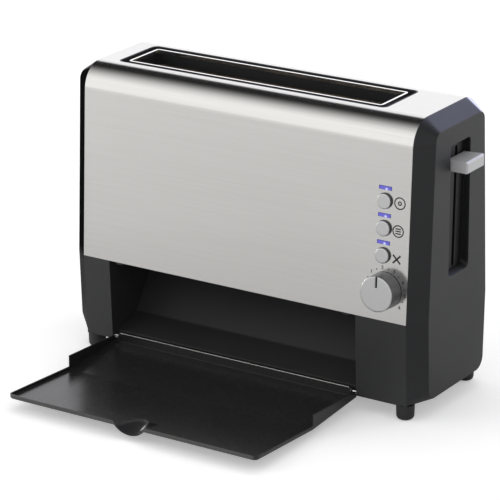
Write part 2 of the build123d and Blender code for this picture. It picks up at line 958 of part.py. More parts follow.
# Bread rack: a welded wire grid whose back rod turns in the carriage's ears
rack_x0 = chamber_centre - rack_length / 2
rack_x1 = chamber_centre + rack_length / 2
rack_front_y = rack_y - rack_depth
ear_starts = (rack_x0 - rack_ear_offset - rack_ear_t, rack_x1 + rack_ear_offset)
rack_rod_x0 = ear_starts[0] - rack_ear_t
rack_rod_x1 = ear_starts[1] + 2 * rack_ear_t

with BuildPart() as bread_rack:
    back_rod_end = disc(Plane.YZ.offset(rack_rod_x0), rack_y, rack_z, rack_rod_radius)
    extrude(back_rod_end, amount=rack_rod_x1 - rack_rod_x0)
    extrude(disc(Plane.YZ.offset(rack_x0), rack_front_y, rack_z, rack_rod_radius), amount=rack_length)
    with BuildSketch(Plane.XZ.offset(-rack_y)):
        with Locations((chamber_centre, rack_z)):
            with GridLocations(rack_wire_pitch, 1, rack_wire_count, 1):
                Circle(rack_wire_radius)
    extrude(amount=rack_depth)

# Carriage: bar through both chassis plates, ears for the rack, upright, bush on the rod and lever arm
bar_x0 = chamber_x0 - chassis_t - bar_overrun
bar_plane = Plane.XZ.offset(-bar_y)
with BuildPart() as carriage:
    extrude(
        outline(
            bar_plane,
            (bar_x0, bar_bottom),
            (upright_x + upright_width, bar_bottom),
            (upright_x + upright_width, bush_bottom),
            (rod_x - bush_radius / 2, bush_bottom),
            (rod_x - bush_radius / 2, bush_top),
            (upright_x, bush_top),
            (upright_x, bar_bottom + bar_height),
            (bar_x0, bar_bottom + bar_height),
        ),
        amount=bar_t / 2,
        both=True,
    )
    for x in ear_starts:
        ear_plane = Plane.YZ.offset(x)
        extrude(
            rect(ear_plane, rack_y - rack_ear_reach, bar_y, bar_bottom, rack_ear_top),
            amount=rack_ear_t,
        )
        extrude(
            disc(ear_plane, rack_y, rack_z, rack_rod_radius + running_gap),
            amount=rack_ear_t,
            mode=Mode.SUBTRACT,
        )
    extrude(disc(Plane.XY.offset(bush_bottom), rod_x, bar_y, bush_radius), amount=bush_top - bush_bottom)
    with BuildSketch(Plane.XY.offset(arm_bottom)):
        with BuildLine():
            FilletPolyline(
                (rod_x, bar_y),
                (arm_bend_x, bar_y),
                (arm_turn_x, slit_y),
                (arm_tip_x, slit_y),
                radius=2 * arm_t,
            )
        trace(line_width=arm_t)
    extrude(amount=arm_height)
    extrude(
        disc(Plane.XY.offset(bush_bottom), rod_x, bar_y, rod_radius + running_gap),
        amount=bush_top - bush_bottom,
        mode=Mode.SUBTRACT,
    )

with BuildPart() as latch_keeper:
    extrude(
        rect(
            Plane.XY.offset(arm_bottom - keeper_t),
            keeper_x - keeper_length / 2,
            keeper_x + keeper_length / 2,
            bar_y - keeper_width / 2,
            bar_y + keeper_width / 2,
        ),
        amount=keeper_t,
    )

# Frame for the guide rod and the magnet, on the outside of the right chassis plate
frame_x0 = plate_face
frame_web_y1 = frame_web_y + frame_web_width
magnet_top = arm_bottom - keeper_t - carriage_travel - magnet_gap
magnet_bottom = magnet_top - magnet_height
magnet_x0 = keeper_x - shelf_half
magnet_x1 = keeper_x + shelf_half
tab_heights = (frame_bottom, frame_top - frame_t)

with BuildPart() as carriage_frame:
    extrude(
        rect(Plane.YZ.offset(frame_x0), frame_web_y, frame_web_y1, frame_bottom, frame_top),
        amount=frame_t,
    )
    for height in tab_heights:
        tab_plane = Plane.XY.offset(height)
        extrude(
            rect(tab_plane, frame_x0, frame_x0 + frame_tab_length, frame_tab_y, frame_web_y1),
            amount=frame_t,
        )
        extrude(
            disc(tab_plane, rod_x, bar_y, rod_radius + seat_gap),
            amount=frame_t,
            mode=Mode.SUBTRACT,
        )
    with BuildSketch(Plane.XY.offset(magnet_bottom - frame_t)):
        with BuildLine():
            Polyline(
                (frame_x0, frame_web_y + frame_t),
                (magnet_x0, frame_web_y + frame_t),
                (magnet_x0, bar_y - shelf_half),
                (magnet_x1, bar_y - shelf_half),
                (magnet_x1, frame_web_y1),
                (frame_x0, frame_web_y1),
                close=True,
            )
        make_face()
    extrude(amount=frame_t)

with BuildPart() as carriage_guide_rod:
    extrude(
        disc(Plane.XY.offset(frame_bottom - rod_overrun), rod_x, bar_y, rod_radius),
        amount=frame_top - frame_bottom + 2 * rod_overrun,
    )

with BuildPart() as magnet_core:
    extrude(disc(Plane.XY.offset(magnet_bottom), keeper_x, bar_y, magnet_base_radius), amount=magnet_base_t)
    extrude(disc(Plane.XY.offset(magnet_bottom), keeper_x, bar_y, magnet_pole_radius), amount=magnet_height)

with BuildPart() as magnet_coil:
    coil_plane = Plane.XY.offset(magnet_bottom + magnet_base_t)
    extrude(disc(coil_plane, keeper_x, bar_y, coil_radius), amount=coil_height)
    fillet(magnet_coil.edges().filter_by(GeomType.CIRCLE), magnet_base_t / 2)
    extrude(
        disc(coil_plane, keeper_x, bar_y, magnet_pole_radius + seat_gap),
        amount=coil_height,
        mode=Mode.SUBTRACT,
    )

# Return spring: a helix between the frame's lower tab and the bush, as two arcs to each half turn
spring_bottom = frame_bottom + frame_t + spring_wire_radius + spring_end_gap
spring_top = bush_bottom - spring_wire_radius - spring_end_gap
spring_pitch = (spring_top - spring_bottom) / spring_turns


def spring_point(turn):
    """Point on the spring's centre line after so many turns."""
    angle = 2 * pi * turn
    return Vector(
        rod_x + spring_radius * cos(angle),
        bar_y + spring_radius * sin(angle),
        spring_bottom + spring_pitch * turn,
    )


def spring_tangent(turn):
    """Direction of the spring's centre line after so many turns."""
    angle = 2 * pi * turn
    return Vector(
        -spring_radius * sin(angle), spring_radius * cos(angle), spring_pitch / (2 * pi)
    ).normalized()


def biarc(start, start_dir, end, end_dir):
    """Joint of the two tangent arcs from start to end, and the direction there."""
    chord = end - start
    both = start_dir + end_dir
    a = 2 * start_dir.dot(end_dir) - 2
    b = -2 * chord.dot(both)
    c = chord.dot(chord)
    reach = (-b - sqrt(b * b - 4 * a * c)) / (2 * a)
    first = start + start_dir * reach
    second = end - end_dir * reach
    return (first + second) * 0.5, second - first


spring_steps = [step / 2 for step in range(2 * spring_turns)]
with BuildPart() as return_spring:
    with BuildLine() as spring_line:
        for turn in spring_steps:
            start, end = spring_point(turn), spring_point(turn + 0.5)
            joint, joint_dir = biarc(start, spring_tangent(turn), end, spring_tangent(turn + 0.5))
            TangentArc(start, joint, tangent=spring_tangent(turn))
            TangentArc(joint, end, tangent=joint_dir)
    with BuildSketch(Plane(origin=spring_point(0), z_dir=spring_tangent(0))):
        Circle(spring_wire_radius)
    sweep()
print("return_spring: least gap between turns", round(spring_pitch - 2 * spring_wire_radius, 2))

# Lever knob: rounded finger piece with a socket for the arm
with BuildPart() as lever_knob:
    with BuildSketch(Plane.XY.offset(knob_bottom)) as knob_plan:
        with Locations(((knob_inner_x + knob_outer_x) / 2, 0)):
            Rectangle(knob_outer_x - knob_inner_x, 2 * knob_half_width)
        fillet(knob_plan.vertices().group_by(Axis.X)[-1], knob_corner)
    extrude(amount=knob_top - knob_bottom)
    with BuildSketch(Plane.XZ) as knob_profile:
        with BuildLine():
            Polyline(
                (knob_inner_x, knob_bottom),
                (knob_outer_x, knob_bottom),
                (knob_outer_x, knob_top),
                (knob_inner_x, knob_top - knob_rise),
                close=True,
            )
        make_face()
        fillet(knob_profile.vertices().group_by(Axis.X)[-1].sort_by(Axis.Y)[-1], knob_nose)
        fillet(knob_profile.vertices().group_by(Axis.X)[-1].sort_by(Axis.Y)[0], knob_heel)
    extrude(amount=knob_half_width, both=True, mode=Mode.INTERSECT)
    extrude(
        rect(
            Plane.YZ.offset(knob_inner_x),
            slit_y - arm_t / 2 - arm_gap,
            slit_y + arm_t / 2 + arm_gap,
            arm_bottom - arm_gap,
            arm_bottom + arm_height + arm_gap,
        ),
        amount=arm_tip_x - knob_inner_x + arm_gap,
        mode=Mode.SUBTRACT,
    )

# Buttons, indicator windows and the moulding that guides them
flange_front = carrier_back - button_gap
flange_back = flange_front - button_flange_t
stem_back = flange_back - button_stem_length
buttons = {}
indicators = {}
for place, height in button_heights.items():
    button_y = panel_y(height)
    with BuildPart() as button:
        flange_plane = panel_plane.offset(flange_back)
        stem_plane = panel_plane.offset(stem_back)
        extrude(disc(flange_plane, control_x, button_y, button_radius), amount=button_proud - flange_back)
        fillet(button.faces().sort_by(Axis((0, 0, 0), panel_plane.z_dir))[-1].edges(), button_edge)
        extrude(disc(flange_plane, control_x, button_y, button_flange_radius), amount=button_flange_t)
        extrude(disc(stem_plane, control_x, button_y, button_stem_radius), amount=button_stem_length)
    buttons[place] = button

    window_y = panel_y(height + indicator_rise)
    window_x0 = control_x - indicator_width / 2
    window_x1 = control_x + indicator_width / 2
    window_y0 = window_y - indicator_height / 2
    window_y1 = window_y + indicator_height / 2
    with BuildPart() as indicator:
        window_plane = panel_plane.offset(carrier_back)
        extrude(
            rect(window_plane, window_x0, window_x1, window_y0, window_y1, indicator_corner),
            amount=indicator_proud - carrier_back,
        )
        extrude(
            rect(
                panel_plane.offset(carrier_back),
                window_x0 - indicator_flange,
                window_x1 + indicator_flange,
                window_y0 - indicator_flange,
                window_y1 + indicator_flange,
            ),
            amount=-indicator_flange_t,
        )
    indicators[place] = indicator

post_points = [
    (x, y)
    for x in (carrier_x0 + post_inset, carrier_x1 - post_inset)
    for y in (panel_y(carrier_z0) + post_inset, panel_y(carrier_z1) - post_inset)
]
carrier_y0 = panel_y(carrier_z0)
carrier_y1 = panel_y(carrier_z1)
with BuildPart() as control_carrier:
    extrude(
        rect(panel_plane.offset(carrier_back), carrier_x0, carrier_x1, carrier_y0, carrier_y1),
        amount=carrier_t,
    )
    with BuildSketch(panel_plane.offset(carrier_back)):
        for height in button_heights.values():
            with Locations((control_x, panel_y(height))):
                Circle(button_radius + button_gap)
            with Locations((control_x, panel_y(height + indicator_rise))):
                Rectangle(indicator_width + fit_gap, indicator_height + fit_gap)
        with Locations((dial_x, panel_y(dial_z))):
            Circle(shaft_hole_radius)
    extrude(amount=carrier_t, mode=Mode.SUBTRACT)
    with BuildSketch(panel_plane.offset(-board_depth)):
        with Locations(*post_points):
            Circle(post_radius)
    extrude(amount=board_depth + carrier_back)

with BuildPart() as control_board:
    extrude(
        rect(panel_plane.offset(-board_depth), carrier_x0, carrier_x1, carrier_y0, carrier_y1),
        amount=-board_t,
    )

plunger_top = stem_back - button_travel - plunger_gap
board_plane = panel_plane.offset(-board_depth)
with BuildPart() as tact_switches:
    for height in button_heights.values():
        switch_y = panel_y(height)
        extrude(
            rect(
                board_plane,
                control_x - switch_size / 2,
                control_x + switch_size / 2,
                switch_y - switch_size / 2,
                switch_y + switch_size / 2,
            ),
            amount=switch_height,
        )
        extrude(disc(board_plane, control_x, switch_y, plunger_radius), amount=board_depth + plunger_top)

with BuildPart() as indicator_leds:
    for height in button_heights.values():
        led_y = panel_y(height + indicator_rise)
        extrude(
            rect(
                board_plane,
                control_x - led_length / 2,
                control_x + led_length / 2,
                led_y - led_width / 2,
                led_y + led_width / 2,
            ),
            amount=led_height,
        )

# Browning control: potentiometer on the board, shaft and dial
dial_y = panel_y(dial_z)
pot_front = pot_height - board_depth
bore_floor = pot_front - pot_bore_depth
socket_end = dial_gap + dial_socket_depth
with BuildPart() as browning_pot:
    extrude(disc(board_plane, dial_x, dial_y, pot_radius), amount=pot_height)
    extrude(
        disc(panel_plane.offset(bore_floor), dial_x, dial_y, shaft_radius + running_gap),
        amount=pot_bore_depth,
        mode=Mode.SUBTRACT,
    )

with BuildPart() as browning_shaft:
    extrude(
        disc(panel_plane.offset(bore_floor + running_gap), dial_x, dial_y, shaft_radius),
        amount=socket_end - bore_floor - 2 * running_gap,
    )

dial_axis = Axis(panel_plane.from_local_coords((dial_x, dial_y, 0)), panel_plane.z_dir)
dial_section = Plane(origin=dial_axis.position, x_dir=(1, 0, 0), z_dir=(0, -sin(lean), -cos(lean)))
dial_roof = dial_proud - dial_wall
with BuildPart() as browning_knob:
    with BuildSketch(dial_section) as dial_profile:
        with BuildLine():
            Polyline(
                (0, dial_proud),
                (dial_face_radius, dial_proud),
                (dial_base_radius, dial_gap),
                (dial_base_radius - dial_wall, dial_gap),
                (dial_face_radius - dial_wall, dial_roof),
                (dial_hub_radius, dial_roof),
                (dial_hub_radius, 2 * dial_gap),
                (shaft_radius + shaft_seat_gap, 2 * dial_gap),
                (shaft_radius + shaft_seat_gap, socket_end),
                (0, socket_end),
                close=True,
            )
        make_face()
        fillet(dial_profile.vertices().group_by(Axis.Y)[-1].sort_by(Axis.X)[-1], dial_edge)
    revolve(axis=dial_axis)
    extrude(
        rect(
            panel_plane.offset(dial_proud),
            dial_x - pointer_width / 2,
            dial_x + pointer_width / 2,
            dial_y + pointer_inner,
            dial_y + dial_face_radius,
        ),
        amount=-pointer_depth,
        mode=Mode.SUBTRACT,
    )

# Tray: a pan bent where its wings end, so that it follows the front of the body when it is folded
tray_x0 = mouth_x0 + tray_gap
tray_x1 = mouth_x1 - tray_gap
wing_bottom = floor_bottom + tray_edge
wing_tail_y = hinge_y - pin_radius - wing_tail_gap
wing_tail_z = hinge_z + wing_tail_rise
front_slope = tray_dip / (wing_y - tray_front)
scoop_back = tray_front + scoop_length
scoop_back_z = floor_top - scoop_length * front_slope
scoop_tilt = atan2(scoop_back_z - floor_top + scoop_drop, scoop_length)
scoop_plane = Plane(
    origin=(
        mouth_centre,
        scoop_back - scoop_radius * sin(scoop_tilt),
        scoop_back_z + scoop_radius * cos(scoop_tilt),
    ),
    x_dir=(1, 0, 0),
    z_dir=(0, -cos(scoop_tilt), -sin(scoop_tilt)),
)


def tray_plan(height, inset):
    """Plan of the tray at a height, drawn in by inset, with its two front corners rounded."""
    with BuildSketch(Plane.XY.offset(height)) as sheet:
        with Locations(((tray_x0 + tray_x1) / 2, (tray_back + tray_front) / 2)):
            Rectangle(tray_x1 - tray_x0 - 2 * inset, tray_back - tray_front - 2 * inset)
        fillet(sheet.vertices().group_by(Axis.Y)[0], tray_corner - inset)
    return sheet.sketch


def bent_slab(bottom, top, inset):
    """Slab on the tray's plan, drawn in by inset. Bottom and top are its heights at both ends."""
    with BuildPart() as slab:
        extrude(
            outline(
                Plane.YZ.offset(tray_x0),
                (tray_front, bottom),
                (wing_y, bottom - tray_dip),
                (tray_back, bottom),
                (tray_back, top),
                (wing_y, top - tray_dip),
                (tray_front, top),
            ),
            amount=tray_x1 - tray_x0,
        )
        extrude(
            tray_plan(bottom - tray_dip, inset),
            amount=top - bottom + tray_dip,
            mode=Mode.INTERSECT,
        )
    return slab.part


def scoop_groove(radius):
    """Round bar that runs down to the front through the tray's edge."""
    with BuildPart() as groove:
        extrude(disc(scoop_plane, 0, 0, radius), amount=2 * scoop_length, both=True)
    return groove.part


with BuildPart() as scoop_shell:
    add(scoop_groove(scoop_radius + scoop_wall))
    extrude(
        outline(
            Plane.YZ.offset(mouth_centre - scoop_radius),
            (tray_front, floor_top),
            (tray_front + 2 * scoop_length, floor_top - 2 * scoop_length * front_slope),
            (tray_front + 2 * scoop_length, floor_top - scoop_radius),
            (tray_front, floor_top - scoop_radius),
        ),
        amount=2 * scoop_radius,
        mode=Mode.INTERSECT,
    )

with BuildPart() as tray:
    add(bent_slab(floor_bottom, floor_top + rim_height, 0))
    rear_base, front_base = tray.faces().sort_by(Axis.Z)[:2].sort_by(Axis.Y, reverse=True)
    rear_sides = rear_base.edges().sort_by(Axis.X)
    base_edges = front_base.edges().sort_by(Axis.Y)[:-1]
    fillet([rear_sides[0], rear_sides[-1], *base_edges], tray_edge)
    add(bent_slab(floor_top, floor_top + 2 * rim_height, tray_t), mode=Mode.SUBTRACT)
    extrude(
        rect(
            Plane.XY.offset(floor_top),
            tray_x0 + ear_inset + tray_t,
            tray_x1 - ear_inset - tray_t,
            tray_back - tray_t,
            tray_back,
        ),
        amount=back_rim_height,
    )
    for x in (tray_x0, tray_x1 - tray_t):
        extrude(
            outline(
                Plane.YZ.offset(x),
                (wing_tail_y, wing_bottom),
                (wing_tail_y, wing_tail_z),
                (wing_y, floor_bottom + wing_height),
                (wing_y, wing_bottom - tray_dip),
            ),
            amount=tray_t,
        )
    for x in (tray_x0 + ear_inset, tray_x1 - ear_inset - tray_t):
        ear_plane = Plane.YZ.offset(x)
        extrude(rect(ear_plane, hinge_y - ear_radius, tray_back, floor_bottom, hinge_z), amount=tray_t)
        extrude(disc(ear_plane, hinge_y, hinge_z, ear_radius), amount=tray_t)
        extrude(
            disc(ear_plane, hinge_y, hinge_z, pin_radius + pin_gap),
            amount=tray_t,
            mode=Mode.SUBTRACT,
        )
    add(scoop_shell.part)
    add(scoop_groove(scoop_radius), mode=Mode.SUBTRACT)

pin_reach = tray_gap + ear_inset + tray_t - pin_end_gap
with BuildPart() as tray_hinge_pins:
    for x in (mouth_x0 - pin_seat, mouth_x1 - pin_reach):
        extrude(disc(Plane.YZ.offset(x), hinge_y, hinge_z, pin_radius), amount=pin_seat + pin_reach)

bumper_front = bumper_setback - waist_half
with BuildPart() as tray_bumpers:
    for x in (mouth_x0 + bumper_inset, mouth_x1 - bumper_inset - bumper_length):
        bumper_profile = rect(
            Plane.YZ.offset(x), bumper_front, bumper_front + bumper_depth, waist_z - bumper_height, waist_z
        )
        extrude(bumper_profile, amount=bumper_length)
    fillet(tray_bumpers.edges().group_by(Axis.Z)[0], bumper_height / 3)

# Every piece under its own name
pieces = {
    "steel_wrap": steel_wrap,
    "left_end_cap": left_end_cap,
    "right_end_cap": right_end_cap,
    "lower_housing": lower_housing,
    "base_pan": base_pan,
    "base_screws": base_screws,
    "cord_gland": cord_gland,
    "chute_ramp": chute_ramp,
    "slot_bezel": slot_bezel,
    "slot_liner": slot_liner,
    "bread_rack": bread_rack,
    "carriage": carriage,
    "latch_keeper": latch_keeper,
    "carriage_frame": carriage_frame,
    "carriage_guide_rod": carriage_guide_rod,
    "return_spring": return_spring,
    "magnet_core": magnet_core,
    "magnet_coil": magnet_coil,
    "lever_knob": lever_knob,
    "control_carrier": control_carrier,
    "control_board": control_board,
    "tact_switches": tact_switches,
    "indicator_leds": indicator_leds,
    "browning_pot": browning_pot,
    "browning_shaft": browning_shaft,
    "browning_knob": browning_knob,
    "tray": tray,
    "tray_hinge_pins": tray_hinge_pins,
    "tray_bumpers": tray_bumpers,
}
pieces |= {f"foot_{corner}": foot for corner, foot in feet.items()}
pieces |= {f"{end}_chassis_plate": plate for end, plate in chassis_plates.items()}
pieces |= {f"{side}_reflector": piece for side, piece in reflectors.items()}
pieces |= {f"{side}_heater_board": piece for side, piece in heater_boards.items()}
pieces |= {f"{side}_heater_ribbon": piece for side, piece in heater_ribbons.items()}
pieces |= {f"{side}_guide_wires": piece for side, piece in guide_wires.items()}
pieces |= {f"button_{place}": piece for place, piece in buttons.items()}
pieces |= {f"indicator_{place}": piece for place, piece in indicators.items()}

os.makedirs("parts", exist_ok=True)
for name, piece in pieces.items():
    piece.part.label = name
    export_step(piece.part, f"parts/{name}.step")
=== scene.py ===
"""Looks for the slide-through toaster: finishes, printed marks, floor, light and camera."""

from math import cos, radians, sin, tau

import bmesh
import bpy
from mathutils import Matrix, Vector


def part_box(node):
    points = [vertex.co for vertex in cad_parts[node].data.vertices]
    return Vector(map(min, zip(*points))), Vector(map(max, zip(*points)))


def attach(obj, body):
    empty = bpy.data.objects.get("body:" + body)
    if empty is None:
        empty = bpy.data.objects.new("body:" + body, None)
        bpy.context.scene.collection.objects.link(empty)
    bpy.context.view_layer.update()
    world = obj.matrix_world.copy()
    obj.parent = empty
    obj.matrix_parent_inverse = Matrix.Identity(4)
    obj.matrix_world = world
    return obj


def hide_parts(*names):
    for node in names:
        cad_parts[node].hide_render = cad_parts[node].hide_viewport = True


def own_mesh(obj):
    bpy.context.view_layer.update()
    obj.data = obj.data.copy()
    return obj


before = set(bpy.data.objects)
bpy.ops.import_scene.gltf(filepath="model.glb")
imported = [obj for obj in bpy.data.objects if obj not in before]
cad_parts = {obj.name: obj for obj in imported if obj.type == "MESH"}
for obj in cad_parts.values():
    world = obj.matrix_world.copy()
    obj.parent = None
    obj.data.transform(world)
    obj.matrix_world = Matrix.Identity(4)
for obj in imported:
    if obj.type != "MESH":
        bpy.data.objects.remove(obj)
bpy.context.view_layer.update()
scene = bpy.context.scene

MM = 0.001

# The leaning steel front: its lower edge, its outward normal and the way up it
LEAN = radians(2.95)
FRONT_FOOT = Vector((0, -0.0643, 0.0908))
FRONT_NORMAL = Vector((0, -cos(LEAN), sin(LEAN)))
FRONT_UP = Vector((0, sin(LEAN), cos(LEAN)))
PRINT_LIFT = 0.00006
PRINT_WELD = 0.00001

# Dial: its centre on the front, in millimetres
DIAL_X = 148.0
DIAL_Z = 118.8

# The dial's pointer groove, in metres: its floor's height above the steel, and soft limits round the floor
DIAL_GROOVE = 0.0149
GROOVE_HALF_HEIGHT = (0.0002, 0.0003)
GROOVE_HALF_WIDTH = (0.0007, 0.0009)

# Soft edges of the masks on the pieces: where each begins and ends, in metres
# The lever recess limits bound painted shade on the right end cap
RECESS_INNER = (0.150, 0.152)
RECESS_OUTER = (0.1825, 0.1845)
RECESS_SIDE = (0.0174, 0.0180)
RECESS_FOOT = (0.1235, 0.1265)
RECESS_TOP = (0.2425, 0.2435)
# WAIST: below it the left chamfer's painted shade is weaker
WAIST = (0.084, 0.098)
CROWN_FOOT = (0.235, 0.24)
# TRAY_EDGE bounds painted light on the tray's front rim
TRAY_EDGE = (-0.2222, -0.2210)
TRAY_EDGE_FOOT = (0.0108, 0.0122)
# The scoop limits bound painted shade in the finger scoop
SCOOP_SIDE = (0.013, 0.0175)
SCOOP_BACK = (-0.203, -0.199)
SCOOP_TOP = (0.0095, 0.0110)
LIP_LEFT = (0.004, 0.008)
LIP_FOOT = (0.0083, 0.0092)
LIP_TOP = (0.0106, 0.0116)

# The tray's middle, where its finger scoop is, in metres along the toaster
TRAY_MIDDLE = -0.011

# Soft edges of the masks that follow the way a surface faces, as parts of its normal
# CHAMFER_TURN bounds the left chamfer's painted shade
CHAMFER_TURN = (0.35, 0.5)
CROWN_FROM = (0.08, 0.18)
CROWN_TO = (0.38, 0.46)
CROWN_UP = (0.25, 0.4)
# FACE_TURN bounds the painted shade on the sides of the dial and the buttons
FACE_TURN = (0.25, 0.7)
RUB_TURN = (0.02, 0.25)

# Edges: how wide the rubbed band is, and how round the edges look, in metres
RUB_WIDTH = 0.0006
EDGE_RADIUS = 0.0007
DIAL_EDGE_RADIUS = 0.0009

# How much lighter a rubbed edge is at least, and the share of a colour that is kept where shade is painted
# and where wire is dulled
RUB_LIFT = 0.004
SHADE = 0.3
DULLED = 0.72

# Indicator lens: half its size, and how far its lamp is off centre and lights it, in metres
LENS_HALF_WIDTH = 0.0063
LENS_HALF_HEIGHT = 0.0017
LAMP_SHIFT = 0.0012
LAMP_REACH = 0.0022

# Magnet coil: from turn to turn of its wire, in metres
WIRE_PITCH = 0.0006

# Colours
WHITE = (1, 1, 1)
STEEL_DARK = (0.56, 0.553, 0.537)
STEEL_LIGHT = (0.648, 0.64, 0.624)
CAP_BLACK = (0.020, 0.0205, 0.022)
# Matte black painted as shade on the left end cap's front chamfer
CAP_SHADE_BLACK = (0.005, 0.005, 0.0055)
# Lower housing: the end caps' black made lighter, as painted light on the pillars
HOUSING_LIT_BLACK = (0.030, 0.0305, 0.0315)
INNER_BLACK = (0.03, 0.03, 0.032)
RUBBER_BLACK = (0.014, 0.014, 0.0145)
TRAY_BLACK = (0.019, 0.019, 0.0193)
TRAY_RUBBED_GREY = (0.06, 0.06, 0.061)
# Grey for the outer face of the tray's front rim: painted light
TRAY_EDGE_LIT_GREY = (0.10, 0.098, 0.097)
# Near black for the finger scoop: painted shade
SCOOP_SHADE_BLACK = (0.006, 0.006, 0.0065)
COATING_DARK = (0.021, 0.021, 0.0213)
COATING_LIGHT = (0.030, 0.030, 0.0303)
PAINT_SILVER = (0.55, 0.55, 0.56)
SATIN_SILVER = (0.53, 0.53, 0.535)
# Darker rims of the buttons and the dial: painted shade on their sides
BUTTON_RIM_SHADE_GREY = (0.10, 0.10, 0.104)
DIAL_RIM_SHADE_GREY = (0.13, 0.13, 0.135)
GROOVE_BLACK = (0.02, 0.02, 0.021)
SHEET_SILVER = (0.82, 0.82, 0.81)
WIRE_SILVER = (0.70, 0.70, 0.69)
HEATER_GREY = (0.32, 0.29, 0.27)
HEAT_TINT = (1.0, 0.93, 0.84)
LENS_BODY = (0.03, 0.03, 0.16)
LENS_MIDDLE = (0.12, 0.11, 0.52)
LENS_RIM = (0.04, 0.036, 0.22)
LENS_SPOT = (0.62, 0.66, 1.0)
INK_DARK = (0.006, 0.006, 0.006)
INK_LIGHT = (0.016, 0.016, 0.016)
MICA_DARK = (0.42, 0.33, 0.22)
MICA_LIGHT = (0.62, 0.52, 0.38)
COPPER_DARK = (0.30, 0.10, 0.03)
COPPER_LIGHT = (0.62, 0.25, 0.09)
BOARD_DARK = (0.012, 0.10, 0.04)
BOARD_LIGHT = (0.02, 0.15, 0.06)


class Value:
    """A number that changes over a surface. Arithmetic on it adds Math nodes."""

    def __init__(self, tree, socket):
        self.tree = tree
        self.socket = socket

    def math(self, operation, *terms):
        node = self.tree.nodes.new("ShaderNodeMath")
        node.operation = operation
        for socket, term in zip(node.inputs, terms):
            plug(self.tree, socket, term)
        return Value(self.tree, node.outputs[0])

    def __add__(self, other):
        return self.math("ADD", self, other)

    def __radd__(self, other):
        return self.math("ADD", other, self)

    def __sub__(self, other):
        return self.math("SUBTRACT", self, other)

    def __rsub__(self, other):
        return self.math("SUBTRACT", other, self)

    def __mul__(self, other):
        return self.math("MULTIPLY", self, other)

    def __rmul__(self, other):
        return self.math("MULTIPLY", other, self)

    def __truediv__(self, other):
        return self.math("DIVIDE", self, other)

    def __rtruediv__(self, other):
        return self.math("DIVIDE", other, self)

    def at_most(self, other):
        return self.math("MINIMUM", self, other)

    def at_least(self, other):
        return self.math("MAXIMUM", self, other)

    def size(self):
        return self.math("ABSOLUTE", self)

    def sine(self):
        return self.math("SINE", self)

    def angle_from(self, other):
        return self.math("ARCTAN2", self, other)


def plug(tree, socket, value):
    """Links a value to a socket, or sets the socket's own number or colour."""
    if isinstance(value, Value):
        tree.links.new(value.socket, socket)
    elif isinstance(value, (tuple, list)) and len(value) == 3 and socket.type == "RGBA":
        socket.default_value = (*value, 1.0)
    else:
        socket.default_value = value


class Nodes:
    """Makes nodes in one tree."""

    def __init__(self, tree):
        self.tree = tree

    def node(self, kind, settings=None, sockets=None, output=0):
        """Any node by its type, with its settings and then its sockets. Returns one output."""
        node = self.tree.nodes.new(kind)
        for name, value in (settings or {}).items():
            setattr(node, name, value)
        for name, value in (sockets or {}).items():
            plug(self.tree, node.inputs[name], value)
        return Value(self.tree, node.outputs[output])

    def axis(self, where, letter):
        """One coordinate of a position or direction."""
        return self.node("ShaderNodeSeparateXYZ", sockets={"Vector": where}, output=letter)

    def ramp(self, factor, low, high):
        """0 below low, 1 above high, and smooth between them."""
        sockets = {"Value": factor, "From Min": low, "From Max": high}
        settings = {"interpolation_type": "SMOOTHSTEP", "clamp": True}
        return self.node("ShaderNodeMapRange", settings, sockets)

    def fall(self, factor, low, high):
        """1 below low, 0 above high, and smooth between them."""
        return 1 - self.ramp(factor, low, high)

    def dot(self, first, second):
        """How far one vector goes along another."""
        sockets = {0: first, 1: second}
        return self.node("ShaderNodeVectorMath", {"operation": "DOT_PRODUCT"}, sockets, output="Value")

    def blend(self, factor, first, second):
        """Colour between two colours."""
        sockets = {0: factor, 6: first, 7: second}
        return self.node("ShaderNodeMix", {"data_type": "RGBA"}, sockets, output=2)

    def shown(self):
        """1 for what the camera, metal and glass see, and 0 for the light that falls on dull surfaces."""
        rays = ("Is Camera Ray", "Is Glossy Ray", "Is Transmission Ray")
        camera, glossy, through = (self.node("ShaderNodeLightPath", output=ray) for ray in rays)
        return (camera + glossy + through).at_most(1.0)


class Finish(Nodes):
    """One material: a Principled shader and the nodes that feed it."""

    def __init__(self, name):
        self.material = bpy.data.materials.new(name)
        self.material.use_nodes = True
        super().__init__(self.material.node_tree)
        self.shader = self.tree.nodes["Principled BSDF"]

    def place(self):
        """Position in the object's own frame, in metres."""
        return self.node("ShaderNodeTexCoord", output="Object")

    def facing(self):
        """Normal in the object's own frame."""
        return self.node("ShaderNodeTexCoord", output="Normal")

    def along(self, scale):
        """Position, stretched by a scale for each axis."""
        return self.node("ShaderNodeMapping", sockets={"Vector": self.place(), "Scale": scale})

    def noise(self, where, scale=1.0, detail=3.0):
        """Soft noise from 0 to 1."""
        sockets = {"Vector": where, "Scale": scale, "Detail": detail}
        return self.node("ShaderNodeTexNoise", sockets=sockets)

    def bump(self, height, strength, distance, normal=None):
        """Normal from a height, on top of another normal where one is given."""
        sockets = {"Height": height, "Strength": strength, "Distance": distance}
        if normal is not None:
            sockets["Normal"] = normal
        return self.node("ShaderNodeBump", sockets=sockets)

    def give(self, **sockets):
        """Feeds the Principled shader, by socket name with underscores for spaces."""
        for name, value in sockets.items():
            plug(self.tree, self.shader.inputs[name.replace("_", " ")], value)
        return self.material

    def dull(self, mask, colour):
        """Changes to a matte colour under a mask; here it paints shade as matte black."""
        matte = self.node("ShaderNodeBsdfDiffuse", sockets={"Color": colour})
        glossy = Value(self.tree, self.shader.outputs[0])
        mixed = self.node("ShaderNodeMixShader", sockets={0: mask, 1: glossy, 2: matte})
        plug(self.tree, self.tree.nodes["Material Output"].inputs["Surface"], mixed)


def rounded(finish, radius):
    """Normal that is rounded over at the edges."""
    return finish.node("ShaderNodeBevel", {"samples": 6}, {"Radius": radius})


def worn_edges(finish, width):
    """Mask of the edges, from how far a rounded normal turns from the flat one."""
    flat = finish.node("ShaderNodeNewGeometry", output="Normal")
    turn = finish.dot(rounded(finish, width), flat)
    return finish.ramp(1 - turn, *RUB_TURN)


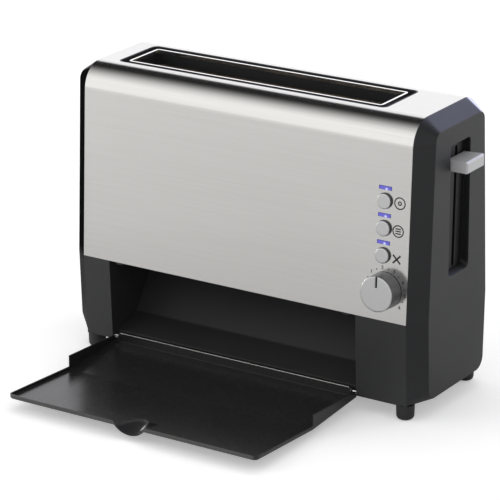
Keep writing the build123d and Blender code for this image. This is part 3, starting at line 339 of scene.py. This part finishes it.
def brushed_steel():
    """Steel brushed along the toaster, a little warm, with soft streaks."""
    f = Finish("brushed_steel")
    fine = f.noise(f.along((9, 3600, 3600)), detail=2.0)
    coarse = f.noise(f.along((2.5, 1100, 1100)), detail=2.0)
    cloud = f.noise(f.along((5, 14, 14)), detail=2.0)
    grain = 0.75 * fine + 0.25 * coarse
    tone = f.ramp(0.8 * grain + 0.2 * cloud, 0.2, 0.8)
    return f.give(
        Base_Color=f.blend(tone, STEEL_DARK, STEEL_LIGHT),
        Metallic=1.0,
        Roughness=0.165 + 0.06 * (grain - 0.5) + 0.05 * (cloud - 0.5),
        Normal=f.bump(grain, 0.08, 0.00008),
    )


def recess_painted_shade(f):
    """Mask of the lever's recess in the right end cap, above its foot, where shade is painted into the
    colour.
    """
    x, y, z = (f.axis(f.place(), letter) for letter in "XYZ")
    inside = f.ramp(x, *RECESS_INNER) * f.fall(x, *RECESS_OUTER) * f.fall(y.size(), *RECESS_SIDE)
    return inside * f.ramp(z, *RECESS_FOOT) * f.fall(z, *RECESS_TOP)


def left_chamfer_shade(f):
    """Mask of the left end cap's front chamfer, where shade is painted as matte black, weaker below the
    waist.
    """
    facing = f.facing()
    left, front = (f.ramp(0 - f.axis(facing, letter), *CHAMFER_TURN) for letter in "XY")
    return left * front * (0.5 + 0.5 * f.ramp(f.axis(f.place(), "Z"), *WAIST))


def rear_crown(f):
    """Mask of the right end cap's corner between the top and the back."""
    facing = f.facing()
    back, up = (f.axis(facing, letter) for letter in "YZ")
    corner = f.ramp(back, *CROWN_FROM) * f.fall(back, *CROWN_TO)
    return corner * f.ramp(up, *CROWN_UP) * f.ramp(f.axis(f.place(), "Z"), *CROWN_FOOT)


def moulded(
    name,
    colour,
    roughness,
    grain_size=0.0005,
    depth=0.00006,
    edge=0.35,
    shine=0.5,
    metal=0.0,
    painted_shade=None,
    polished=None,
    matte=None,
):
    """Moulded plastic with a fine texture, a little lighter where edges are rubbed.

    Masks can paint shade into it, as a darker colour or as a matte black without shine, and can polish it in
    places.
    """
    f = Finish(name)
    pits = f.noise(f.place(), 1 / grain_size, 2.0)
    cloud = f.noise(f.place(), 24.0, 3.0)
    pale = tuple(min(1.0, c * (1 + edge) + RUB_LIFT) for c in colour)
    rub = worn_edges(f, RUB_WIDTH) * (0.4 + 0.6 * cloud)
    base = f.blend(rub, colour, pale)
    # Painted shade: the colour is darkened under this mask
    if painted_shade is not None:
        base = f.blend(painted_shade(f), base, tuple(SHADE * c for c in colour))
    polish = 0.0
    if polished is not None:
        polish = polished(f)
    # Painted shade: matte black under this mask hides the plastic's shine
    if matte is not None:
        f.dull(matte(f), CAP_SHADE_BLACK)
    return f.give(
        Base_Color=base,
        Metallic=metal,
        Roughness=roughness + 0.12 * (cloud - 0.5) + 0.1 * (pits - 0.5) - 0.26 * polish,
        Coat_Weight=polish,
        Specular_IOR_Level=shine,
        Normal=f.bump(pits, 0.25, depth, rounded(f, EDGE_RADIUS)),
    )


def tray_finish():
    """Satin black plastic, with painted light making it grey along the front edge, painted shade and more
    roughness in the finger scoop, and a polished lip.
    """
    f = Finish("tray_plastic")
    x, y, z = (f.axis(f.place(), letter) for letter in "XYZ")
    pits = f.noise(f.place(), 1600.0, 2.0)
    cloud = f.noise(f.place(), 24.0, 3.0)
    # Painted light: the outer face of the front rim is made grey
    lit_band = f.fall(y, *TRAY_EDGE) * f.ramp(z, *TRAY_EDGE_FOOT)
    across = x - TRAY_MIDDLE
    around_scoop = f.fall(across.size(), *SCOOP_SIDE) * f.fall(y, *SCOOP_BACK)
    lip = around_scoop * f.ramp(z, *LIP_FOOT) * f.fall(z, *LIP_TOP) * f.ramp(across, *LIP_LEFT)
    # Painted shade: the finger scoop is made darker, and rougher
    scoop = around_scoop * f.fall(z, *SCOOP_TOP)
    rub = worn_edges(f, RUB_WIDTH) * (0.4 + 0.6 * cloud)
    base = f.blend(rub, TRAY_BLACK, TRAY_RUBBED_GREY)
    base = f.blend(lit_band * (0.8 + 0.4 * (cloud - 0.5)), base, TRAY_EDGE_LIT_GREY)
    return f.give(
        Base_Color=f.blend(scoop, base, SCOOP_SHADE_BLACK),
        Roughness=0.27 + 0.12 * (cloud - 0.5) + 0.1 * (pits - 0.5) + 0.3 * scoop - 0.45 * lip,
        Coat_Weight=lip,
        Specular_IOR_Level=0.36,
        Normal=f.bump(pits, 0.25, 0.00003, rounded(f, EDGE_RADIUS)),
    )


def sheet_metal(name, colour, roughness):
    """Bright rolled sheet with faint roll lines and heat bloom."""
    f = Finish(name)
    lines = f.noise(f.along((300, 300, 2500)), detail=2.0)
    cloud = f.noise(f.place(), 30.0, 3.0)
    warm = tuple(c * t for c, t in zip(colour, HEAT_TINT))
    return f.give(
        Base_Color=f.blend(f.ramp(cloud, 0.4, 0.8), colour, warm),
        Metallic=1.0,
        Roughness=roughness + 0.12 * (cloud - 0.5) + 0.06 * (lines - 0.5),
        Normal=f.bump(lines, 0.08, 0.00005),
    )


def coated_sheet():
    """Black non-stick coating, faintly mottled."""
    f = Finish("coated_sheet")
    cloud = f.noise(f.place(), 18.0, 4.0)
    pits = f.noise(f.place(), 1800.0, 2.0)
    return f.give(
        Base_Color=f.blend(cloud, COATING_DARK, COATING_LIGHT),
        Roughness=0.5 + 0.14 * (cloud - 0.5),
        Specular_IOR_Level=0.16,
        Normal=f.bump(pits, 0.15, 0.00004),
    )


def wire(name, colour, roughness):
    """Drawn wire or turned steel, slightly dulled in patches."""
    f = Finish(name)
    dull = f.noise(f.place(), 90.0, 3.0)
    dark = tuple(DULLED * c for c in colour)
    return f.give(
        Base_Color=f.blend(f.ramp(dull, 0.4, 0.75), colour, dark),
        Metallic=1.0,
        Roughness=roughness + 0.2 * (dull - 0.4).at_least(0.0),
    )


def lit_lens(name, centre):
    """Lit bar: brightest over its lamp."""
    f = Finish(name)
    across = f.axis(f.place(), "X") - centre[0]
    below = (centre[2] - f.axis(f.place(), "Z")) / LENS_HALF_HEIGHT
    offset = across.size() / LENS_HALF_WIDTH
    spread = (across - LAMP_SHIFT).size() / LAMP_REACH + (below - 0.5).size() * 0.7
    spot = f.ramp(1 - spread, 0.0, 0.7)
    edge = f.ramp(offset, 0.75, 1.0).at_least(f.ramp(below.size(), 0.6, 1.0))
    glow = f.blend(edge, LENS_MIDDLE, LENS_RIM)
    return f.give(
        Base_Color=LENS_BODY,
        Roughness=0.25,
        Emission_Color=f.blend(spot, glow, LENS_SPOT),
        Emission_Strength=0.9,
    )


def satin_front(name, rim, groove=None):
    """Satin silver face on a finely turned rim that is painted darker as shade, with a dark groove where its
    height is given.
    """
    f = Finish(name)
    outward = tuple(FRONT_NORMAL)
    face = f.ramp(f.dot(f.facing(), outward), *FACE_TURN)
    turned = f.noise(f.along((700, 1600, 700)), detail=2.0)
    cloud = f.noise(f.place(), 24.0, 3.0)
    # Painted shade: the sides and edges that turn away from the front take the darker rim colour
    colour = f.blend(face, rim, SATIN_SILVER)
    if groove is not None:
        height = f.dot(f.place(), outward) - FRONT_FOOT.dot(FRONT_NORMAL)
        level = f.fall((height - groove).size(), *GROOVE_HALF_HEIGHT)
        middle = f.fall((f.axis(f.place(), "X") - DIAL_X * MM).size(), *GROOVE_HALF_WIDTH)
        colour = f.blend(face * level * middle, colour, GROOVE_BLACK)
    return f.give(
        Base_Color=colour,
        Metallic=0.75,
        Roughness=0.34 + 0.08 * (cloud - 0.5) + 0.06 * (turned - 0.5),
        Normal=f.bump(turned, 0.12, 0.00003, rounded(f, DIAL_EDGE_RADIUS)),
    )


def ink():
    """Printed ink, faintly uneven."""
    f = Finish("printed_ink")
    cloud = f.noise(f.place(), 900.0, 2.0)
    return f.give(
        Base_Color=f.blend(cloud, INK_DARK, INK_LIGHT),
        Roughness=0.5 + 0.1 * (cloud - 0.5),
    )


def mica():
    """Mica sheet with flakes."""
    f = Finish("mica_sheet")
    flakes = f.node("ShaderNodeTexVoronoi", sockets={"Vector": f.place(), "Scale": 140.0})
    cloud = f.noise(f.place(), 40.0, 3.0)
    return f.give(
        Base_Color=f.blend(0.5 * cloud + 0.5 * flakes, MICA_DARK, MICA_LIGHT),
        Roughness=0.55 + 0.2 * (cloud - 0.5),
    )


def winding():
    """Enamelled copper, wound in fine turns."""
    f = Finish("copper_winding")
    turns = (f.axis(f.place(), "Z") * (tau / WIRE_PITCH)).sine()
    return f.give(
        Base_Color=f.blend(0.5 + 0.5 * turns, COPPER_DARK, COPPER_LIGHT),
        Metallic=0.8,
        Roughness=0.35,
        Normal=f.bump(turns, 0.5, 0.0002),
    )


def circuit_board():
    """Solder mask over faint tracks."""
    f = Finish("circuit_board")
    tracks = f.node("ShaderNodeTexBrick", sockets={"Vector": f.along((220, 220, 220)), "Scale": 1.0})
    cloud = f.noise(f.place(), 60.0, 2.0)
    return f.give(
        Base_Color=f.blend(f.ramp(cloud, 0.3, 0.7), BOARD_DARK, BOARD_LIGHT),
        Roughness=0.35 + 0.1 * (cloud - 0.5),
        Normal=f.bump(tracks, 0.1, 0.00005),
    )


steel = brushed_steel()
# The right end cap's black has painted shade in the lever recess
black = moulded(
    "black_plastic", CAP_BLACK, roughness=0.44, shine=0.34, painted_shade=recess_painted_shade, polished=rear_crown
)
# The left end cap's front chamfer is painted matte black as shade
black_left = moulded("black_plastic_left", CAP_BLACK, roughness=0.44, shine=0.34, matte=left_chamfer_shade)
# Painted light: the lower housing's black is a lighter copy of the end caps' plastic
housing_lit_black = moulded("housing_plastic", HOUSING_LIT_BLACK, roughness=0.42, shine=0.34)
inner_black = moulded("inner_plastic", INNER_BLACK, roughness=0.5, grain_size=0.0006, depth=0.00005)
grey = moulded(
    "silver_grey_paint",
    PAINT_SILVER,
    roughness=0.36,
    grain_size=0.0004,
    depth=0.00003,
    edge=0.15,
    metal=0.2,
)
satin = satin_front("satin_silver", BUTTON_RIM_SHADE_GREY)
rubber = moulded("foot_rubber", RUBBER_BLACK, roughness=0.62, grain_size=0.0007, depth=0.00008)
coated = coated_sheet()
bright = sheet_metal("bright_sheet", SHEET_SILVER, roughness=0.2)
plated = wire("plated_wire", WIRE_SILVER, roughness=0.22)
heater = wire("heater_ribbon", HEATER_GREY, roughness=0.4)
mica_board = mica()
print_ink = ink()

FINISHES = {
    "steel_wrap": steel,
    "left_end_cap": black_left,
    "right_end_cap": black,
    "lower_housing": housing_lit_black,
    "slot_bezel": black,
    "tray": tray_finish(),
    "tray_bumpers": rubber,
    "chute_ramp": coated,
    "base_pan": coated,
    "slot_liner": bright,
    "front_reflector": bright,
    "rear_reflector": bright,
    "left_chassis_plate": bright,
    "right_chassis_plate": bright,
    "carriage_frame": bright,
    "carriage": bright,
    "front_guide_wires": plated,
    "rear_guide_wires": plated,
    "bread_rack": plated,
    "carriage_guide_rod": plated,
    "return_spring": plated,
    "base_screws": plated,
    "tray_hinge_pins": plated,
    "browning_shaft": plated,
    "latch_keeper": plated,
    "magnet_core": plated,
    "magnet_coil": winding(),
    "front_heater_board": mica_board,
    "rear_heater_board": mica_board,
    "front_heater_ribbon": heater,
    "rear_heater_ribbon": heater,
    "lever_knob": grey,
    "browning_knob": satin_front("dial_silver", DIAL_RIM_SHADE_GREY, groove=DIAL_GROOVE),
    "button_upper": satin,
    "button_middle": satin,
    "button_lower": satin,
    "control_carrier": inner_black,
    "browning_pot": inner_black,
    "tact_switches": inner_black,
    "control_board": circuit_board(),
    "indicator_leds": grey,
    "foot_front_left": rubber,
    "foot_front_right": rubber,
    "foot_rear_left": rubber,
    "foot_rear_right": rubber,
    "cord_gland": rubber,
}
for place in ("upper", "middle", "lower"):
    low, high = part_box(f"indicator_{place}")
    FINISHES[f"indicator_{place}"] = lit_lens(f"lit_lens_{place}", (low + high) / 2)
for name, material in FINISHES.items():
    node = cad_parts[name]
    node.data.materials.clear()
    node.data.materials.append(material)


def on_front(x, z):
    """Point just off the steel front, from x and height z in millimetres."""
    up = (z * MM - FRONT_FOOT.z) / cos(LEAN)
    return FRONT_FOOT + Vector((x * MM, 0, 0)) + FRONT_UP * up + FRONT_NORMAL * PRINT_LIFT


def printed(name, faces):
    """A printed mark on the steel front, from outlines in millimetres."""
    mesh = bpy.data.meshes.new(name)
    maker = bmesh.new()
    for outline in faces:
        maker.faces.new([maker.verts.new(on_front(x, z)) for x, z in outline])
    bmesh.ops.remove_doubles(maker, verts=maker.verts, dist=PRINT_WELD)
    maker.to_mesh(mesh)
    maker.free()
    mark = bpy.data.objects.new(name, mesh)
    scene.collection.objects.link(mark)
    mesh.materials.append(print_ink)
    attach(mark, "housing")


def swung(x, z, radius, turn):
    """Point at a radius from a centre, at a turn in radians clockwise from the top."""
    return x + radius * sin(turn), z + radius * cos(turn)


def ring(x, z, radius, width, steps=48):
    """Outlines of a ring."""
    inside = radius - width
    faces = []
    for step in range(steps):
        start = tau * step / steps
        end = tau * (step + 1) / steps
        corners = ((radius, start), (radius, end), (inside, end), (inside, start))
        faces.append([swung(x, z, *corner) for corner in corners])
    return faces


def bar(x, z, length, width, angle):
    """Outline of a bar, turned clockwise from upright."""
    turn = radians(angle)
    along = (sin(turn), cos(turn))
    across = (cos(turn), -sin(turn))
    signs = ((-1, -1), (-1, 1), (1, 1), (1, -1))
    return [
        (
            x + a * along[0] * length / 2 + b * across[0] * width / 2,
            z + a * along[1] * length / 2 + b * across[1] * width / 2,
        )
        for a, b in signs
    ]


def disc(x, z, radius, steps=16):
    """Outline of a disc."""
    return [swung(x, z, radius, tau * step / steps) for step in range(steps)]


# Signs beside the buttons, in millimetres
UPPER_MARK = (159.6, 197.9)
MIDDLE_MARK = (158.9, 173.1)
LOWER_MARK = (158.5, 148.1)
MARK_RADIUS = 5.6
MARK_EYE_RADIUS = 2.0
MARK_EYE_STEPS = 24
MARK_LINE = 1.1
BAR_LENGTH = 5.4
BAR_SPACING = 2.1
CROSS_LENGTH = 10.5
CROSS_LINE = 1.6

upper_eye = ring(*UPPER_MARK, MARK_EYE_RADIUS, MARK_LINE, MARK_EYE_STEPS)
printed("mark_upper", ring(*UPPER_MARK, MARK_RADIUS, MARK_LINE) + upper_eye)
middle_x, middle_z = MIDDLE_MARK
middle_bars = [
    bar(middle_x, middle_z + row * BAR_SPACING, BAR_LENGTH, MARK_LINE, 90) for row in (-1, 0, 1)
]
printed("mark_middle", ring(*MIDDLE_MARK, MARK_RADIUS, MARK_LINE) + middle_bars)
printed("mark_lower", [bar(*LOWER_MARK, CROSS_LENGTH, CROSS_LINE, angle) for angle in (45, -45)])

# Dial marks: numbers clockwise from the upper left, with dots between them and a stroke before the first.
# Sizes in millimetres, angles in degrees from the top.
DIAL_MARK_RADIUS = 19.9
DIAL_DOT_RADIUS = DIAL_MARK_RADIUS - 0.6
DIAL_FIRST = -44.0
DIAL_STEP = 175.0 / 5
DIAL_NUMBERS = 6
DOT_SIZE = 0.6
STROKE_ANGLE = -63.0
STROKE_LENGTH = 1.6
STROKE_WIDTH = 0.5
STROKE_TURN = 27.0
NUMBER_SIZE = 3.1
NUMBER_BOLD = 0.1

# A font's size over the height of its numbers
FONT_SCALE = 1.4


def around_dial(angle, radius):
    """Point round the dial, at an angle clockwise from the top."""
    return swung(DIAL_X, DIAL_Z, radius, radians(angle))


def number(text, x, z):
    """A printed number, centred on a point of the steel front."""
    curve = bpy.data.curves.new(f"number_{text}", "FONT")
    curve.body = text
    curve.size = NUMBER_SIZE * MM * FONT_SCALE
    curve.align_x = "CENTER"
    curve.align_y = "CENTER"
    curve.resolution_u = 4
    curve.offset = NUMBER_BOLD * MM
    writing = bpy.data.objects.new("number_maker", curve)
    scene.collection.objects.link(writing)
    bpy.context.view_layer.update()
    final = writing.evaluated_get(bpy.context.evaluated_depsgraph_get())
    mesh = bpy.data.meshes.new_from_object(final)
    bpy.data.objects.remove(writing)
    turn = Matrix((Vector((1, 0, 0)), FRONT_UP, FRONT_NORMAL)).transposed().to_4x4()
    mesh.transform(Matrix.Translation(on_front(x, z)) @ turn)
    mesh.materials.clear()
    mesh.materials.append(print_ink)
    piece = bpy.data.objects.new(f"dial_number_{text}", mesh)
    scene.collection.objects.link(piece)
    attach(piece, "housing")


for count in range(DIAL_NUMBERS):
    number(str(count + 1), *around_dial(DIAL_FIRST + count * DIAL_STEP, DIAL_MARK_RADIUS))
dots = [
    disc(*around_dial(DIAL_FIRST + (count + 0.5) * DIAL_STEP, DIAL_DOT_RADIUS), DOT_SIZE)
    for count in range(DIAL_NUMBERS - 1)
]
dots.append(bar(*around_dial(STROKE_ANGLE, DIAL_DOT_RADIUS), STROKE_LENGTH, STROKE_WIDTH, STROKE_TURN))
printed("dial_dots", dots)

# Return spring, in metres: radius of its centre line and of its wire, and how finely its mesh is cut
SPRING_RADIUS = 0.0036
SPRING_WIRE = 0.00055
SPRING_TURNS = 8
SPRING_STEPS = 36
SPRING_SIDES = 10


def coil_spring():
    """Return spring as a round wire helix, fixed to the housing at its rest length. The real spring shortens
    as the lever goes down.
    """
    low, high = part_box("return_spring")
    centre = (low + high) / 2
    height = high.z - low.z
    foot = low.z + SPRING_WIRE
    rise = (height - 2 * SPRING_WIRE) / SPRING_TURNS
    round_trip = tau * SPRING_RADIUS
    mesh = bpy.data.meshes.new("return_coil")
    maker = bmesh.new()
    sections = []
    for step in range(SPRING_TURNS * SPRING_STEPS + 1):
        turn = step / SPRING_STEPS
        outward = Vector((cos(tau * turn), sin(tau * turn), 0))
        onward = Vector((-round_trip * outward.y, round_trip * outward.x, rise)).normalized()
        point = Vector((centre.x, centre.y, foot + rise * turn)) + SPRING_RADIUS * outward
        over_wire = onward.cross(outward)
        section = []
        for side in range(SPRING_SIDES):
            angle = tau * side / SPRING_SIDES
            spoke = cos(angle) * outward - sin(angle) * over_wire
            section.append(maker.verts.new(point + SPRING_WIRE * spoke))
        sections.append(section)
    for first, second in zip(sections, sections[1:]):
        for side in range(SPRING_SIDES):
            after = (side + 1) % SPRING_SIDES
            maker.faces.new((first[side], first[after], second[after], second[side]))
    maker.faces.new(sections[0][::-1])
    maker.faces.new(sections[-1])
    bmesh.ops.recalc_face_normals(maker, faces=maker.faces[:])
    maker.to_mesh(mesh)
    maker.free()
    mesh.shade_smooth()
    mesh.materials.append(plated)
    spring = bpy.data.objects.new("return_coil", mesh)
    scene.collection.objects.link(spring)
    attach(spring, "housing")
    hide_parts("return_spring")
    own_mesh(spring)


coil_spring()

# Bright metal strip on the tray's back rim, a painted highlight along its top edge, in metres
GLINT_START = -0.1335
GLINT_END = 0.1115
GLINT_Y = -0.0597
GLINT_WIDTH = 0.0012
GLINT_FOOT = 0.01965
GLINT_HEIGHT = 0.0005
GLINT_EDGE = GLINT_HEIGHT * 0.35


def rim_glint():
    """Bright metal strip along the top of the tray's back rim, with rounded edges, standing in for a
    highlight there as a painted highlight.
    """
    mesh = bpy.data.meshes.new("tray_rim_glint")
    maker = bmesh.new()
    size = Matrix.Diagonal((GLINT_END - GLINT_START, GLINT_WIDTH, GLINT_HEIGHT, 1.0))
    middle = Vector(((GLINT_START + GLINT_END) / 2, GLINT_Y, GLINT_FOOT + GLINT_HEIGHT / 2))
    bmesh.ops.create_cube(maker, size=1.0, matrix=Matrix.Translation(middle) @ size)
    bmesh.ops.bevel(
        maker, geom=maker.edges[:], offset=GLINT_EDGE, segments=3, affect="EDGES", profile=0.5
    )
    maker.to_mesh(mesh)
    maker.free()
    mesh.shade_smooth()
    mesh.materials.append(bright)
    strip = bpy.data.objects.new("tray_rim_glint", mesh)
    scene.collection.objects.link(strip)
    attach(strip, "tray")


rim_glint()

# Floor: its tones, half its side, and the soft edges of the places that are darker in mirrors, in metres
# from the middle of the toaster. FLOOR_NEAR and FLOOR_FAR are squares of a distance.
FLOOR_GLOW = (0.36, 0.36, 0.36)
FLOOR_WHITE = (0.86, 0.86, 0.86)
FLOOR_FLAGGED = (0.35, 0.35, 0.35)
FLOOR_HALF = 6.0
FLAG_RIGHT = (0.17, 0.32)
FLAG_RIGHT_FRONT = (-0.7, -0.4)
FLAG_RIGHT_BACK = (-0.1, 0.15)
FLAG_LEFT = (0.2, 0.32)
FLAG_LEFT_FRONT = (-0.15, 0.0)
FLAG_LEFT_BACK = (0.3, 0.5)
# FLOOR_NEAR bounds the painted shade round the toaster that mirrors see
FLOOR_NEAR = (0.1, 0.6)
FLOOR_FAR = (0.5, 5.0)


def stage_plane(name, points, material):
    """A flat stage surface."""
    mesh = bpy.data.meshes.new(name)
    mesh.from_pydata(points, [], [list(range(len(points)))])
    mesh.materials.append(material)
    plane = bpy.data.objects.new(name, mesh)
    scene.collection.objects.link(plane)


def pale_floor():
    """White floor that keeps the shadow and is clear from below. In mirrors it is darker in places, with
    painted shade round the toaster.
    """
    f = Finish("pale_floor")
    x, y = (f.axis(f.place(), letter) for letter in "XY")
    square_distance = x * x + y * y
    glossy = f.node("ShaderNodeLightPath", output="Is Glossy Ray")
    right_front = f.ramp(x, *FLAG_RIGHT) * f.fall(y, *FLAG_RIGHT_BACK) * f.ramp(y, *FLAG_RIGHT_FRONT)
    left_back = f.ramp(0 - x, *FLAG_LEFT) * f.ramp(y, *FLAG_LEFT_FRONT) * f.fall(y, *FLAG_LEFT_BACK)
    # Painted shade: the floor round the toaster is darker as mirrors see it
    near_shade = f.fall(square_distance, *FLOOR_NEAR)
    flagged = (right_front + left_back + 0.15 * near_shade).at_most(1.0) * glossy
    glow = f.blend(f.ramp(square_distance, *FLOOR_FAR), FLOOR_GLOW, WHITE)
    return f.give(
        Base_Color=f.blend(flagged, FLOOR_WHITE, FLOOR_FLAGGED),
        Roughness=0.9,
        Specular_IOR_Level=0.0,
        Emission_Color=f.blend(f.shown() * (1 - flagged) * (1 - 0.7 * glossy), (0, 0, 0), glow),
        Emission_Strength=1.0,
        Alpha=1 - f.node("ShaderNodeNewGeometry", output="Backfacing"),
    )


corners = ((-1, -1), (1, -1), (1, 1), (-1, 1))
stage_plane("floor", [(a * FLOOR_HALF, b * FLOOR_HALF, 0) for a, b in corners], pale_floor())

# World: an even dome lights the dull surfaces. Shiny ones mirror bright walls and a dark ceiling, which has
# a soft edge to the front and a sharper one to the back. The wall at the right front is darker, and the one
# behind is brighter and bluish. Angles run over the toaster, from the front at 0 to the back at 180 degrees.
# The other limits are parts of a direction.
DOME = 0.68
WALLS = 1.38
RIGHT_FRONT_LOSS = 1.0
CEILING_LOSS = 0.985
BEHIND_GAIN = 1.37
CEILING_FRONT = (radians(34), radians(106))
CEILING_BACK = (radians(132), radians(142))
COOL_FROM = (radians(90), radians(140))
BEHIND_FROM = (radians(100), radians(125))
BEHIND_LEFT = (-0.45, -0.2)
BEHIND_RIGHT = (0.3, 0.45)
DARK_RIGHT = (0.4, 0.75)
DARK_BACK = (-0.2, 0.2)
COOL = (0.97, 0.97, 1.0)
BLUISH = (0.70, 0.72, 1.0)

world = bpy.data.worlds.new("studio")
scene.world = world
world.use_nodes = True
world.node_tree.nodes.clear()
sky = Nodes(world.node_tree)
toward = sky.node("ShaderNodeTexCoord", output="Generated")
sideways, backward, upward = (sky.axis(toward, letter) for letter in "XYZ")
over = upward.angle_from(0 - backward)
ceiling = sky.ramp(over, *CEILING_FRONT) * sky.fall(over, *CEILING_BACK)
right_front = sky.ramp(sideways, *DARK_RIGHT) * sky.fall(backward, *DARK_BACK)
between = sky.ramp(sideways, *BEHIND_LEFT) * sky.fall(sideways, *BEHIND_RIGHT)
behind = sky.ramp(over, *BEHIND_FROM) * between
tint = sky.blend(behind, sky.blend(sky.ramp(over, *COOL_FROM), WHITE, COOL), BLUISH)
walls = (WALLS - RIGHT_FRONT_LOSS * right_front) * (1 - CEILING_LOSS * ceiling)
strength = DOME + (walls + BEHIND_GAIN * behind - DOME) * sky.shown()
colour = sky.blend(sky.shown(), WHITE, tint)
studio = sky.node("ShaderNodeBackground", sockets={"Color": colour, "Strength": strength})
outlet = sky.tree.nodes.new("ShaderNodeOutputWorld")
plug(sky.tree, outlet.inputs["Surface"], studio)


def softbox(name, place, aim, size, power, mirrored=True):
    """A soft area lamp that points at a place, seen in shiny surfaces or not."""
    lamp = bpy.data.lights.new(name, "AREA")
    lamp.shape = "RECTANGLE"
    lamp.size, lamp.size_y = size
    lamp.energy = power
    piece = bpy.data.objects.new(name, lamp)
    piece.location = place
    piece.rotation_euler = (Vector(aim) - Vector(place)).to_track_quat("-Z", "Y").to_euler()
    piece.visible_glossy = mirrored
    scene.collection.objects.link(piece)


softbox("key", (-1.7, -1.6, 1.4), aim=(0, 0, 0.12), size=(1.2, 1.2), power=7.0, mirrored=False)
softbox("side", (1.1, 1.8, 0.45), aim=(0.15, 0, 0.2), size=(0.8, 0.7), power=7.0, mirrored=False)
softbox("overhead", (-0.3, 0.5, 2.2), aim=(0, 0, 0.1), size=(1.4, 1.4), power=6.0, mirrored=False)
softbox("rim", (-2.0, -0.7, 0.33), aim=(0.1, -0.05, 0.15), size=(0.5, 0.5), power=8.0)

# Camera fitted to the photograph
CAMERA_TURN = radians(32.92)
CAMERA_RISE = radians(19.63)
CAMERA_ROLL = radians(-0.33)
CAMERA_DISTANCE = 2.6088
CAMERA_TARGET = Vector((-0.02158, -0.01327, 0.10825))
CAMERA_LENS = 208.05
CAMERA_SENSOR = 36.0
CAMERA_REACH = 50.0

level = Vector((cos(CAMERA_TURN), sin(CAMERA_TURN), 0))
outward = Vector((sin(CAMERA_TURN), -cos(CAMERA_TURN), 0))
away = cos(CAMERA_RISE) * outward + sin(CAMERA_RISE) * Vector((0, 0, 1))
upright = away.cross(level)
right = cos(CAMERA_ROLL) * level + sin(CAMERA_ROLL) * upright
top = cos(CAMERA_ROLL) * upright - sin(CAMERA_ROLL) * level
lens = bpy.data.cameras.new("camera")
lens.lens = CAMERA_LENS
lens.sensor_width = CAMERA_SENSOR
lens.clip_end = CAMERA_REACH
camera = bpy.data.objects.new("camera", lens)
scene.collection.objects.link(camera)
stance = Matrix((right, top, away)).transposed().to_4x4()
camera.matrix_world = Matrix.Translation(CAMERA_TARGET + away * CAMERA_DISTANCE) @ stance
scene.camera = camera
scene.view_settings.view_transform = "Standard"
